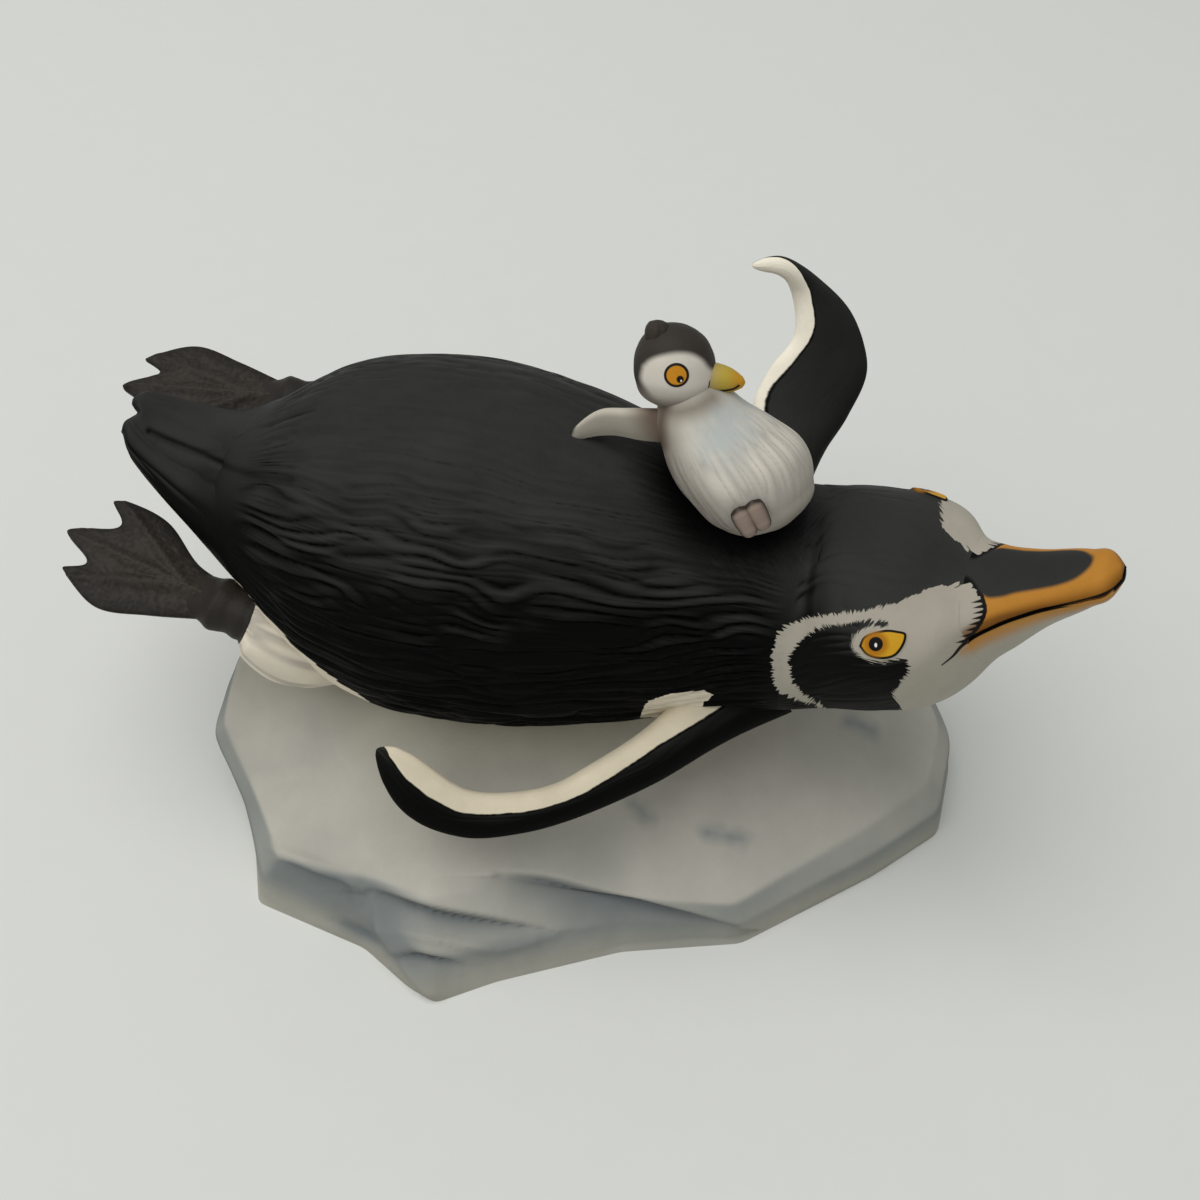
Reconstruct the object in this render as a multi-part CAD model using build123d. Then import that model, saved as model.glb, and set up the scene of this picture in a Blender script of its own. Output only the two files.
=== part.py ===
from build123d import *
import os
from math import cos, pi, sin

# Ice floe
base_length = 155.0
base_width = 103.0
base_height = 29.0
base_wall = 5.0
drain_diameter = 14.0
drain_offset = 34.0

# Adult's torso, in its own frame: X to the head, Y to its left, Z to its back
torso_length = 113.0
torso_width = 71.0
torso_rise = 31.0
torso_drop = 31.0
torso_wall = 3.2
torso_yaw = -12.5
torso_roll = 17.0
torso_offset_x = -25.0
torso_offset_y = 16.0
belly_sink = 2.0
spigot_diameter = 16.0
spigot_length = 9.0
vent_diameter = 8.0

# Adult's head and bill
head_length = 34.9
head_width = 44.6
head_rise = 17.6
head_drop = 21.7
head_pitch = 27.5
head_roll = -15.5
lip_length = 5.0
lip_wall = 2.0
bill_length = 26.2
bill_peg_diameter = 5.0
bill_peg_length = 7.0

# Adult's flippers, tail and legs
flipper_length = 84.0
flipper_thickness = 8.0
flipper_peg_diameter = 4.5
tail_length = 26.0
tail_width = 32.0
tail_thickness = 22.0
tail_peg_diameter = 6.0
thigh_length = 18.0
thigh_diameter = 24.0
thigh_pitch = 28.0
thigh_peg_diameter = 9.0
foot_length = 37.5
shank_diameter = 10.6
web_thickness = 2.4
toe_diameter = 4.4
foot_peg_diameter = 5.0
foot_peg_length = 8.0

# Chick, in its own frame: X forward, Y to its left, Z along its back
chick_length = 26.0
chick_width = 25.6
chick_heading = 17.0
chick_lean_back = 31.0
chick_lean_away = 42.0
chick_seat_height = 8.5
chick_peg_diameter = 7.0
chick_peg_length = 14.0
chick_head_height = 14.6
chick_head_width = 14.0
chick_head_turn = 8.0
chick_head_nod = 30.0
chick_neck_peg_diameter = 5.0
chick_neck_peg_length = 13.0
chick_bill_length = 6.6
chick_bill_width = 5.6
chick_tuft_length = 2.8
chick_tuft_width = 4.4
chick_flipper_length = 26.0
chick_flipper_thickness = 3.4
chick_foot_length = 5.0
chick_foot_thickness = 4.0

# Fits and cuts
fit_gap = 0.2
cut_overrun = 2.0

# Torso stations: along, lift of the axis, half width, rise, drop
torso_station_shares = [
    (-0.44, 0.19, 0.16, 0.21, 0.23),
    (-0.405, 0.18, 0.207, 0.375, 0.405),
    (-0.335, 0.15, 0.29, 0.565, 0.61),
    (-0.24, 0.09, 0.408, 0.81, 0.84),
    (-0.125, 0.025, 0.482, 0.95, 0.97),
    (0.0, 0.0, 0.5, 1.0, 1.0),
    (0.125, -0.02, 0.479, 0.985, 1.0),
    (0.25, -0.04, 0.43, 0.92, 0.97),
    (0.37, -0.065, 0.375, 0.81, 0.87),
    (0.48, -0.08, 0.328, 0.71, 0.77),
    (0.56, -0.08, 0.305, 0.645, 0.715),
]
torso_cavity_first_station = 2

# Head stations: along, part of the head's tilt, half width, rise, drop
head_station_shares = [
    (0.14, 0.3, 0.485, 0.99, 0.92),
    (0.27, 0.6, 0.492, 0.95, 0.93),
    (0.51, 1.0, 0.5, 0.83, 0.98),
    (0.71, 1.0, 0.475, 0.64, 0.98),
    (0.90, 1.0, 0.375, 0.38, 0.86),
    (1.0, 1.0, 0.255, 0.26, 0.76),
]
head_cavity_stations = 4

# Bill stations: along, lift, half width, rise and drop of the bill's root
bill_station_shares = [
    (0.0, 0.0, 1.0, 1.0, 1.0),
    (0.18, 0.0, 0.76, 0.80, 0.84),
    (0.42, 0.0, 0.61, 0.75, 0.58),
    (0.78, 0.0, 0.49, 0.79, 0.27),
    (0.94, 0.01, 0.34, 0.60, 0.15),
    (1.0, 0.02, 0.12, 0.22, 0.06),
]
gape_root_share = -0.38
gape_tip_share = -0.02

# Flipper edges from the shoulder: along, out, up
shoulder_shares = (0.45, 0.31, -0.26)
right_leading_edge_shares = [
    (0.09, -0.10, -0.06),
    (-0.003, 0.106, -0.066),
    (-0.12, 0.216, -0.064),
    (-0.367, 0.349, -0.084),
    (-0.495, 0.38, -0.087),
    (-0.643, 0.348, -0.023),
    (-0.705, 0.276, 0.035),
]
right_trailing_edge_shares = [
    (-0.01, -0.10, 0.06),
    (-0.086, 0.026, 0.052),
    (-0.181, 0.158, 0.025),
    (-0.379, 0.275, -0.017),
    (-0.481, 0.295, -0.016),
    (-0.617, 0.26, 0.061),
    (-0.683, 0.245, 0.064),
]
left_leading_edge_shares = [
    (0.09, -0.10, -0.06),
    (0.151, 0.102, -0.045),
    (0.188, 0.224, -0.003),
    (0.21, 0.375, 0.078),
    (0.113, 0.473, 0.202),
    (-0.023, 0.497, 0.277),
    (-0.065, 0.487, 0.275),
]
left_trailing_edge_shares = [
    (-0.01, -0.10, 0.06),
    (0.05, 0.046, 0.014),
    (0.017, 0.142, 0.026),
    (-0.001, 0.291, 0.088),
    (0.026, 0.411, 0.169),
    (-0.039, 0.458, 0.248),
    (-0.07, 0.468, 0.257),
]
flipper_thickness_shares = [1.0, 0.95, 0.82, 0.68, 0.56, 0.36, 0.2]

# Tail stations: along from the rump, sideways, lift, half width, rise, drop
tail_root_shares = (-0.37, 0.0, 0.15)
tail_station_shares = [
    (0.0, 0.0, 0.0, 0.47, 0.46, 0.46),
    (0.36, 0.07, 0.08, 0.41, 0.35, 0.33),
    (0.62, 0.13, 0.18, 0.33, 0.24, 0.21),
    (0.85, 0.19, 0.29, 0.25, 0.165, 0.135),
    (1.0, 0.235, 0.37, 0.19, 0.115, 0.09),
]
tail_notch_share = 0.06

# Thigh stations: along, radius; each leg's side, hip place, foot splay and foot pitch
hip_shares = (-0.2, -0.35)
thigh_station_shares = [(-0.2, 0.24), (0.15, 0.37), (0.5, 0.41), (0.8, 0.355), (1.0, 0.28)]
leg_sides = {"right": (-1, 0.325, 13.0, 8.0), "left": (1, 0.355, 6.0, 11.0)}

# Foot: along to the toes, out from the midline
toe_tip_shares = [(0.95, 0.23), (1.0, 0.0), (0.91, -0.31)]
web_notch_shares = [(0.88, 0.10), (0.86, -0.13)]
outer_web_edge_shares = [(0.72, 0.30), (0.48, 0.225)]
inner_web_edge_shares = [(0.355, -0.135), (0.63, -0.28)]
web_root_shares = (0.2, 0.11)
toe_root_share = 0.36
toe_taper_share = 0.45
toe_reach_share = 0.9
shank_station_shares = [(0.0, 0.5, 0.5), (0.14, 0.47, 0.42), (0.28, 0.52, 0.36), (0.4, 0.5, 0.24)]

# Chick body and head stations: along, forward shift, half depth, half width
chick_place_shares = (0.432, 0.115, 0.62)
chick_body_station_shares = [
    (-0.5, 0.1, 0.12, 0.12),
    (-0.44, 0.1, 0.27, 0.28),
    (-0.31, 0.085, 0.395, 0.41),
    (-0.08, 0.05, 0.475, 0.485),
    (0.15, 0.01, 0.45, 0.44),
    (0.35, -0.01, 0.365, 0.35),
    (0.5, -0.015, 0.285, 0.285),
    (0.64, -0.02, 0.17, 0.17),
]
chick_head_place_share = 0.775
chick_head_station_shares = [
    (-0.49, 0.0, 0.17, 0.17),
    (-0.38, 0.0, 0.375, 0.355),
    (-0.18, 0.0, 0.49, 0.46),
    (0.0, -0.01, 0.505, 0.475),
    (0.2, -0.02, 0.465, 0.435),
    (0.38, -0.03, 0.34, 0.32),
    (0.495, -0.045, 0.15, 0.14),
]
chick_bill_place_shares = (0.345, -0.09)
chick_bill_station_shares = [(0.0, 0.0, 0.5), (0.45, -0.03, 0.44), (0.8, -0.08, 0.3), (1.0, -0.13, 0.11)]
chick_tuft_place_shares = (-0.22, -0.1, 0.37)
chick_tuft_station_shares = [(0.0, 0.5), (0.4, 0.46), (0.75, 0.36), (1.0, 0.14)]

# Chick flippers: middle line as forward, left, up, then chord
chick_right_flipper_shares = [
    (-0.17, -0.10, 0.43, 0.26),
    (-0.432, -0.07, 0.541, 0.245),
    (-0.622, -0.055, 0.628, 0.196),
    (-0.827, -0.05, 0.64, 0.105),
    (-0.978, -0.055, 0.614, 0.03),
]
chick_left_flipper_shares = [
    (-0.03, 0.22, 0.42, 0.2),
    (-0.09, 0.37, 0.28, 0.26),
    (-0.11, 0.45, 0.1, 0.24),
    (-0.11, 0.5, -0.08, 0.17),
    (-0.10, 0.52, -0.2, 0.05),
]
chick_flipper_thickness_shares = [1.0, 0.9, 0.75, 0.55, 0.3]

# Chick feet: bearing round the body, height, toe spread; toes as radius shares
chick_feet = {"right": -70.0, "left": 70.0}
chick_foot_height_share = -0.28
chick_toe_spread_share = 0.32
chick_toe_station_shares = [(-0.5, 0.32), (0.1, 0.4), (0.35, 0.44), (0.62, 0.16)]

# Ice outline, one row a corner, counter-clockwise from the right end: floor, shelf, rim, plateau
base_corner_shares = [
    ((0.484, 0.06), (0.484, 0.07, 0.205), (0.465, 0.09, 0.31), (0.29, 0.12, 0.585)),
    ((0.452, 0.25), (0.452, 0.25, 0.24), (0.426, 0.24, 0.41), (0.27, 0.23, 0.69)),
    ((0.31, 0.41), (0.303, 0.41, 0.28), (0.284, 0.39, 0.52), (0.18, 0.29, 0.79)),
    ((0.097, 0.485), (0.097, 0.485, 0.31), (0.09, 0.455, 0.585), (0.03, 0.35, 0.865)),
    ((-0.161, 0.495), (-0.161, 0.495, 0.345), (-0.155, 0.465, 0.65), (-0.13, 0.37, 0.895)),
    ((-0.374, 0.43), (-0.387, 0.435, 0.41), (-0.368, 0.41, 0.725), (-0.27, 0.33, 0.93)),
    ((-0.471, 0.21), (-0.503, 0.19, 0.485), (-0.484, 0.175, 0.79), (-0.335, 0.175, 0.93)),
    ((-0.465, 0.02), (-0.516, 0.02, 0.52), (-0.497, 0.02, 0.64), (-0.36, 0.04, 0.865)),
    ((-0.458, -0.14), (-0.471, -0.10, 0.31), (-0.458, -0.087, 0.445), (-0.335, -0.08, 0.725)),
    ((-0.44, -0.285), (-0.435, -0.265, 0.205), (-0.406, -0.26, 0.41), (-0.297, -0.136, 0.69)),
    ((-0.297, -0.385), (-0.297, -0.36, 0.24), (-0.29, -0.32, 0.52), (-0.206, -0.155, 0.725)),
    ((-0.239, -0.466), (-0.245, -0.42, 0.31), (-0.245, -0.35, 0.55), (-0.142, -0.155, 0.755)),
    ((-0.203, -0.5), (-0.21, -0.455, 0.28), (-0.21, -0.37, 0.53), (-0.116, -0.155, 0.755)),
    ((-0.129, -0.456), (-0.123, -0.417, 0.28), (-0.116, -0.33, 0.52), (-0.077, -0.155, 0.755)),
    ((0.026, -0.393), (0.026, -0.374, 0.205), (0.032, -0.34, 0.38), (0.032, -0.136, 0.705)),
    ((0.178, -0.375), (0.176, -0.365, 0.16), (0.168, -0.34, 0.295), (0.129, -0.117, 0.65)),
    ((0.355, -0.225), (0.352, -0.212, 0.205), (0.342, -0.175, 0.345), (0.219, -0.058, 0.605)),
    ((0.45, -0.125), (0.45, -0.11, 0.205), (0.432, -0.068, 0.325), (0.271, 0.02, 0.585)),
]
base_top_shares = (-0.065, 0.1, 1.0)

outline_points = 12
peg_align = (Align.CENTER, Align.CENTER, Align.MIN)


def oval(half, rise, drop):
    """Closed smooth outline: an ellipse with its own height above and below its axis."""
    points = []
    for step in range(outline_points):
        angle = 2 * pi * step / outline_points
        height = rise if sin(angle) >= 0 else drop
        points.append((half * cos(angle), height * sin(angle)))
    return make_face(Spline(*points, periodic=True))


def across(place, half, rise, drop):
    """An oval standing square to the X axis of a place."""
    return place * (Plane.YZ * oval(half, rise, drop))


def rod(start, end, diameter, length):
    """A round peg from one point towards another."""
    return Plane(origin=start, z_dir=end - start) * Cylinder(diameter / 2, length, align=peg_align)


def blade(leading, trailing, thicknesses):
    """A thin limb lofted between a leading and a trailing edge."""
    middles = [(front + back) / 2 for front, back in zip(leading, trailing)]
    sections = []
    for index, middle in enumerate(middles):
        following = middles[min(index + 1, len(middles) - 1)]
        previous = middles[max(index - 1, 0)]
        chord = leading[index] - trailing[index]
        upright = (following - previous).cross(chord)
        plane = Plane(origin=middle, x_dir=chord, z_dir=chord.cross(upright))
        half = thicknesses[index] / 2
        sections.append(plane * oval(chord.length / 2, half, half))
    return loft(sections), middles


neck_share = torso_station_shares[-1]
neck_half = neck_share[2] * torso_width
neck_rise = neck_share[3] * torso_rise
neck_drop = neck_share[4] * torso_drop
neck_place = Pos(neck_share[0] * torso_length, 0, neck_share[1] * torso_rise)
head_wall = torso_wall + fit_gap + lip_wall
torso_place = (
    Pos(torso_offset_x, torso_offset_y, base_height + torso_drop - belly_sink)
    * Rot(Z=torso_yaw)
    * Rot(X=torso_roll)
)
chick_place = (
    Pos(
        chick_place_shares[0] * torso_length,
        chick_place_shares[1] * torso_width,
        chick_place_shares[2] * torso_rise + chick_seat_height,
    )
    * Rot(Z=chick_heading)
    * Rot(Y=-chick_lean_back)
    * Rot(X=-chick_lean_away)
)


def torso_body(wall, first_station):
    """The torso's lofted form, drawn in by a wall."""
    sections = []
    for along, lift, half, rise, drop in torso_station_shares[first_station:]:
        place = Pos(along * torso_length, 0, lift * torso_rise)
        size = (half * torso_width - wall, rise * torso_rise - wall, drop * torso_drop - wall)
        sections.append(across(place, *size))
    return loft(sections)


def belly_spigot(diameter, length):
    """Upright round spigot under the belly, measured down from the torso's axis."""
    top = torso_place.position
    return Pos(top) * Rot(X=180) * Cylinder(diameter / 2, torso_drop + length, align=peg_align)


def head_frame(along, part):
    """A place on the neck and head axis, raised and rolled by a part of the head's tilt."""
    axis = neck_place * Rot(Y=-head_pitch) * Rot(X=head_roll)
    centre = (axis * Pos(along, 0, 0)).position
    return Pos(centre) * Rot(Y=-head_pitch * part) * Rot(X=head_roll * part)


def head_body(wall, stations):
    """The neck and head form from the torso's neck outline on, drawn in by a wall."""
    sections = [across(neck_place, neck_half - wall, neck_rise - wall, neck_drop - wall)]
    for along, part, half, rise, drop in head_station_shares[:stations]:
        place = head_frame(along * head_length, part)
        size = (half * head_width - wall, rise * head_rise - wall, drop * head_drop - wall)
        sections.append(across(place, *size))
    return loft(sections)


def bill_body():
    """The whole bill, from the head's front face to its blunt tip."""
    root = head_station_shares[-1]
    sections = []
    for along, lift, half, rise, drop in bill_station_shares:
        place = head_frame(head_length + along * bill_length, 1.0) * Pos(0, 0, lift * bill_length)
        size = (
            half * root[2] * head_width,
            rise * root[3] * head_rise,
            drop * root[4] * head_drop,
        )
        sections.append(across(place, *size))
    return loft(sections)


def flipper(side, leading_shares, trailing_shares):
    """A flipper blade and the line of its peg, from outside the shoulder to inside it."""
    shoulder = Vector(
        shoulder_shares[0] * torso_length,
        side * shoulder_shares[1] * torso_width,
        shoulder_shares[2] * torso_drop,
    )

    def edge(shares):
        return [shoulder + Vector(a, side * out, up) * flipper_length for a, out, up in shares]

    sizes = [share * flipper_thickness for share in flipper_thickness_shares]
    body, middles = blade(edge(leading_shares), edge(trailing_shares), sizes)
    return body, middles[1], middles[0]


def tail_body():
    """The tail: flat ovals that narrow, rise and drift to the left, with a notched end."""
    root = Pos(
        tail_root_shares[0] * torso_length,
        tail_root_shares[1] * torso_width,
        tail_root_shares[2] * torso_rise,
    )
    sections = []
    for along, sideways, lift, half, rise, drop in tail_station_shares:
        place = root * Pos(-along * tail_length, sideways * tail_width, lift * tail_length)
        size = (half * tail_width, rise * tail_thickness, drop * tail_thickness)
        sections.append(across(place, *size))
    tip = root * Pos(-tail_length, tail_station_shares[-1][1] * tail_width, 0)
    notch = tip * Cylinder(tail_notch_share * tail_width, 2 * tail_length)
    return loft(sections) - notch, root


def leg(side, hip_share, splay, pitch):
    """A thigh, its foot, and the places of the hip and of the ankle."""
    hip = Pos(hip_shares[0] * torso_length, side * hip_share * torso_width, hip_shares[1] * torso_drop)
    line = hip * Rot(Z=180) * Rot(Y=-thigh_pitch)
    sections = []
    for along, radius in thigh_station_shares:
        size = radius * thigh_diameter
        sections.append(across(line * Pos(along * thigh_length, 0, 0), size, size, size))
    ankle = line * Pos(thigh_length, 0, 0)
    heading = Pos(ankle.position) * Rot(Z=180 + side * splay) * Rot(Y=-pitch)
    return loft(sections), webbed_foot(-side, ankle, heading), line, ankle


def webbed_foot(out, ankle, heading):
    """Shank, scalloped web and three tapering toes; out is the outer side's sign in the foot's frame."""

    def spot(shares):
        return (shares[0] * foot_length, out * shares[1] * foot_length)

    tips = [spot(shares) for shares in toe_tip_shares]
    notches = [spot(shares) for shares in web_notch_shares]
    root_along, root_half = web_root_shares
    outer_root = spot((root_along, root_half))
    inner_root = spot((root_along, -root_half))
    outer_edge = Spline(outer_root, *[spot(s) for s in reversed(outer_web_edge_shares)], tips[0])
    inner_edge = Spline(tips[2], *[spot(s) for s in reversed(inner_web_edge_shares)], inner_root)
    outline = [
        outer_edge,
        ThreePointArc(tips[0], notches[0], tips[1]),
        ThreePointArc(tips[1], notches[1], tips[2]),
        inner_edge,
        Line(inner_root, outer_root),
    ]
    body = heading * extrude(make_face(outline), web_thickness / 2, both=True)
    for tip_along, tip_out in tips:
        start = (heading * Pos(toe_root_share * foot_length, 0, 0)).position
        end = (heading * Pos(tip_along * toe_reach_share, tip_out * toe_reach_share, 0)).position
        toe_root = Plane(origin=start, z_dir=end - start) * Circle(toe_diameter / 2)
        toe_tip = Plane(origin=end, z_dir=end - start) * Circle(toe_diameter * toe_taper_share / 2)
        body += loft([toe_root, toe_tip])
    sections = []
    for index, (along, half, height) in enumerate(shank_station_shares):
        place = heading * Pos(along * foot_length, 0, 0)
        if index == 0:
            place = ankle
        size = (half * shank_diameter, height * shank_diameter, height * shank_diameter)
        sections.append(across(place, *size))
    return body + loft(sections)


def stacked(place, length, width, shares):
    """A round form lofted up the Z axis of a place."""
    sections = []
    for along, shift, depth, half in shares:
        level = place * Pos(shift * width, 0, along * length)
        sections.append(level * Rot(Z=90) * oval(half * width, depth * width, depth * width))
    return loft(sections)


def chick_flipper(shares, chord_direction):
    """A small flipper along a middle line, its chord laid in one direction of the chick's frame."""
    leading = []
    trailing = []
    for forward, left, up, chord in shares:
        middle = Vector(forward, left, up) * chick_flipper_length
        reach = chord_direction * (chord * chick_flipper_length / 2)
        leading.append((chick_place * Pos(middle + reach)).position)
        trailing.append((chick_place * Pos(middle - reach)).position)
    sizes = [share * chick_flipper_thickness for share in chick_flipper_thickness_shares]
    return blade(leading, trailing, sizes)[0]


def chick_bill(place):
    """A short bill that bends down to a blunt tip."""
    sections = []
    for along, lift, half in chick_bill_station_shares:
        point = place * Pos(along * chick_bill_length, 0, lift * chick_bill_length)
        size = half * chick_bill_width
        sections.append(across(point, size, size, size))
    return loft(sections)


def chick_tuft(place):
    """A short tuft that rounds off to its top."""
    sections = []
    for along, radius in chick_tuft_station_shares:
        size = radius * chick_tuft_width
        sections.append(place * Pos(0, 0, along * chick_tuft_length) * oval(size, size, size))
    return loft(sections)


def chick_foot(bearing):
    """Two short round toes side by side, low on the body, pointing up its front."""
    seat = chick_place * Pos(0, 0, chick_foot_height_share * chick_length) * Rot(Z=bearing)
    toes = []
    for side in (-1, 1):
        line = seat * Pos(chick_width / 2, side * chick_toe_spread_share * chick_foot_thickness, 0)
        sections = []
        for along, radius in chick_toe_station_shares:
            level = line * Pos(0, 0, along * chick_foot_length)
            size = radius * chick_foot_thickness
            sections.append(level * oval(size, size, size))
        toes.append(loft(sections))
    return toes[0] + toes[1]


def base_body(scale, floor_height, top_height):
    """The faceted floe: rings of corners joined by flat triangles, shrunk about its top's foot point."""
    centre = Vector(base_top_shares[0] * base_length, base_top_shares[1] * base_width, 0)

    def corner(shares):
        height = shares[2] if len(shares) > 2 else 0
        point = Vector(shares[0] * base_length, shares[1] * base_width, 0)
        lifted = floor_height + height * (top_height - floor_height)
        return centre + (point - centre) * scale + Vector(0, 0, lifted)

    rings = [[corner(row[level]) for row in base_corner_shares] for level in range(4)]
    faces = [Face(Wire.make_polygon(rings[0]))]
    count = len(base_corner_shares)
    for lower, upper in zip(rings, rings[1:]):
        for index in range(count):
            after = (index + 1) % count
            faces.append(Face(Wire.make_polygon([lower[index], lower[after], upper[after]])))
            faces.append(Face(Wire.make_polygon([lower[index], upper[after], upper[index]])))
    top = corner(base_top_shares)
    for index in range(count):
        after = (index + 1) % count
        faces.append(Face(Wire.make_polygon([rings[3][index], rings[3][after], top])))
    return Solid(Shell(faces))


torso_form = torso_body(0, 0)
head_form = head_body(0, len(head_station_shares))
adult_form = torso_form + head_form
torso = torso_form - torso_body(torso_wall, torso_cavity_first_station)

# Neck joint: the head's lip enters the torso's open neck
lip_inset = torso_wall + fit_gap
lip_section = across(neck_place, neck_half - lip_inset, neck_rise - lip_inset, neck_drop - lip_inset)
bore_section = across(neck_place, neck_half - head_wall, neck_rise - head_wall, neck_drop - head_wall)
backward = (-1, 0, 0)
lip = extrude(lip_section, lip_length, dir=backward)
lip_bore = extrude(bore_section, lip_length + cut_overrun, dir=backward)
head = head_form + lip - head_body(head_wall, head_cavity_stations) - lip_bore

# Bill halves, parted along the gape and pegged into the head
bill_root = head_frame(head_length, 1.0)
bill_drop = head_station_shares[-1][4] * head_drop
gape_start = (bill_root * Pos(0, 0, gape_root_share * bill_drop)).position
gape_end = (bill_root * Pos(bill_length, 0, gape_tip_share * bill_drop)).position
sideways = (bill_root * Pos(0, 1, 0)).position - bill_root.position
gape_line = gape_end - gape_start
gape = Plane(origin=gape_start, x_dir=gape_line, z_dir=gape_line.cross(sideways))
bill = bill_body()
into_head = (bill_root * Pos(-bill_peg_length, 0, 0)).position
upper_bill = split(bill, bisect_by=gape, keep=Keep.TOP)
upper_bill += rod(bill_root.position, into_head, bill_peg_diameter, bill_peg_length)
lower_bill = split(bill, bisect_by=gape, keep=Keep.BOTTOM)
head -= rod(bill_root.position, into_head, bill_peg_diameter + 2 * fit_gap, bill_peg_length + fit_gap)

nodes = {}

# Flippers, seated on the shoulders
flipper_edges = {
    "right": (-1, right_leading_edge_shares, right_trailing_edge_shares),
    "left": (1, left_leading_edge_shares, left_trailing_edge_shares),
}
for name, edges in flipper_edges.items():
    form, outside, inside = flipper(*edges)
    reach = (inside - outside).length
    peg = rod(outside, inside, flipper_peg_diameter, reach)
    torso -= rod(outside, inside, flipper_peg_diameter + 2 * fit_gap, reach + fit_gap)
    nodes[f"adult_{name}_flipper"] = form - adult_form + peg

# Tail, seated on the rump
tail_form, tail_root = tail_body()
tail_middle = (tail_root * Pos(-tail_length / 2, 0, tail_station_shares[1][2] * tail_length)).position
tail_reach = (tail_root.position - tail_middle).length
tail_peg = rod(tail_middle, tail_root.position, tail_peg_diameter, tail_reach)
torso -= rod(tail_middle, tail_root.position, tail_peg_diameter + 2 * fit_gap, tail_reach + fit_gap)
nodes["adult_tail"] = tail_form - torso_form + tail_peg

# Legs: thigh pegged through the torso's wall, foot pegged into the thigh
for name, layout in leg_sides.items():
    thigh_form, foot_form, thigh_line, ankle = leg(*layout)
    hip = thigh_line.position
    foot_peg = rod(ankle.position, hip, foot_peg_diameter, foot_peg_length)
    foot_socket = rod(ankle.position, hip, foot_peg_diameter + 2 * fit_gap, foot_peg_length + fit_gap)
    thigh_peg = rod(ankle.position, hip, thigh_peg_diameter, thigh_length)
    torso -= rod(ankle.position, hip, thigh_peg_diameter + 2 * fit_gap, thigh_length + fit_gap)
    nodes[f"adult_{name}_thigh"] = thigh_form - torso_form + thigh_peg - foot_socket
    nodes[f"adult_{name}_foot"] = foot_form - torso_form - thigh_form + foot_peg

# Chick, seated on the adult's back
chick_form = stacked(chick_place, chick_length, chick_width, chick_body_station_shares)
chick_centre = chick_place.position
down = chick_centre + Vector(0, 0, -1)
chick_peg = rod(chick_centre, down, chick_peg_diameter, chick_peg_length)
torso -= rod(chick_centre, down, chick_peg_diameter + 2 * fit_gap, chick_peg_length + fit_gap)
chick_head_place = (
    chick_place
    * Pos(0, 0, chick_head_place_share * chick_length)
    * Rot(Z=chick_head_turn)
    * Rot(Y=chick_head_nod)
)
chick_head_form = stacked(chick_head_place, chick_head_height, chick_head_width, chick_head_station_shares)
crown = chick_head_place.position
neck_peg = rod(crown, chick_centre, chick_neck_peg_diameter, chick_neck_peg_length)
neck_bore = chick_neck_peg_diameter + 2 * fit_gap
neck_socket = rod(crown, chick_centre, neck_bore, chick_neck_peg_length + fit_gap)
nodes["chick_body"] = chick_form - adult_form + chick_peg - neck_socket
nodes["chick_head"] = chick_head_form - chick_form + neck_peg

# Chick's bill, tuft, flippers and feet, seated on its head and body
bill_forward, bill_lift = chick_bill_place_shares
chick_bill_place = chick_head_place * Pos(bill_forward * chick_head_width, 0, bill_lift * chick_head_height)
nodes["chick_bill"] = chick_bill(chick_bill_place) - chick_head_form - chick_form
tuft_forward, tuft_left, tuft_up = chick_tuft_place_shares
tuft_place = chick_head_place * Pos(
    tuft_forward * chick_head_width, tuft_left * chick_head_width, tuft_up * chick_head_height
)
nodes["chick_crest_tuft"] = chick_tuft(tuft_place) - chick_head_form
chick_solid = chick_form + chick_head_form
held_out = chick_flipper(chick_right_flipper_shares, Vector(0, 0, 1))
folded = chick_flipper(chick_left_flipper_shares, Vector(1, 0, 0))
nodes["chick_right_flipper"] = held_out - chick_solid - adult_form
nodes["chick_left_flipper"] = folded - chick_solid - adult_form
for name, bearing in chick_feet.items():
    nodes[f"chick_{name}_foot"] = chick_foot(bearing) - chick_form - adult_form

nodes["adult_head"] = head
nodes["adult_upper_bill"] = upper_bill
nodes["adult_lower_bill"] = lower_bill
placed = {name: torso_place * piece for name, piece in nodes.items()}

# Belly seat: a vented spigot under the torso drops into the floe's top
torso_outside = torso_place * torso_form
spigot = belly_spigot(spigot_diameter, spigot_length) - torso_outside
vent = belly_spigot(vent_diameter, spigot_length + cut_overrun)
placed["adult_torso"] = torso_place * torso + spigot - vent
cavity_scale = 1 - 2 * base_wall / base_width
cavity_height = base_height - belly_sink - base_wall
floe = base_body(1.0, 0, base_height) - base_body(cavity_scale, base_wall, cavity_height)
floe -= torso_outside
floe -= belly_spigot(spigot_diameter + 2 * fit_gap, spigot_length + fit_gap)
floe -= Pos(drain_offset, 0, 0) * Cylinder(drain_diameter / 2, 2 * (base_wall + cut_overrun))
placed["ice_base"] = floe

os.makedirs("parts", exist_ok=True)
for name, piece in placed.items():
    export_step(piece, f"parts/{name}.step")
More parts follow.
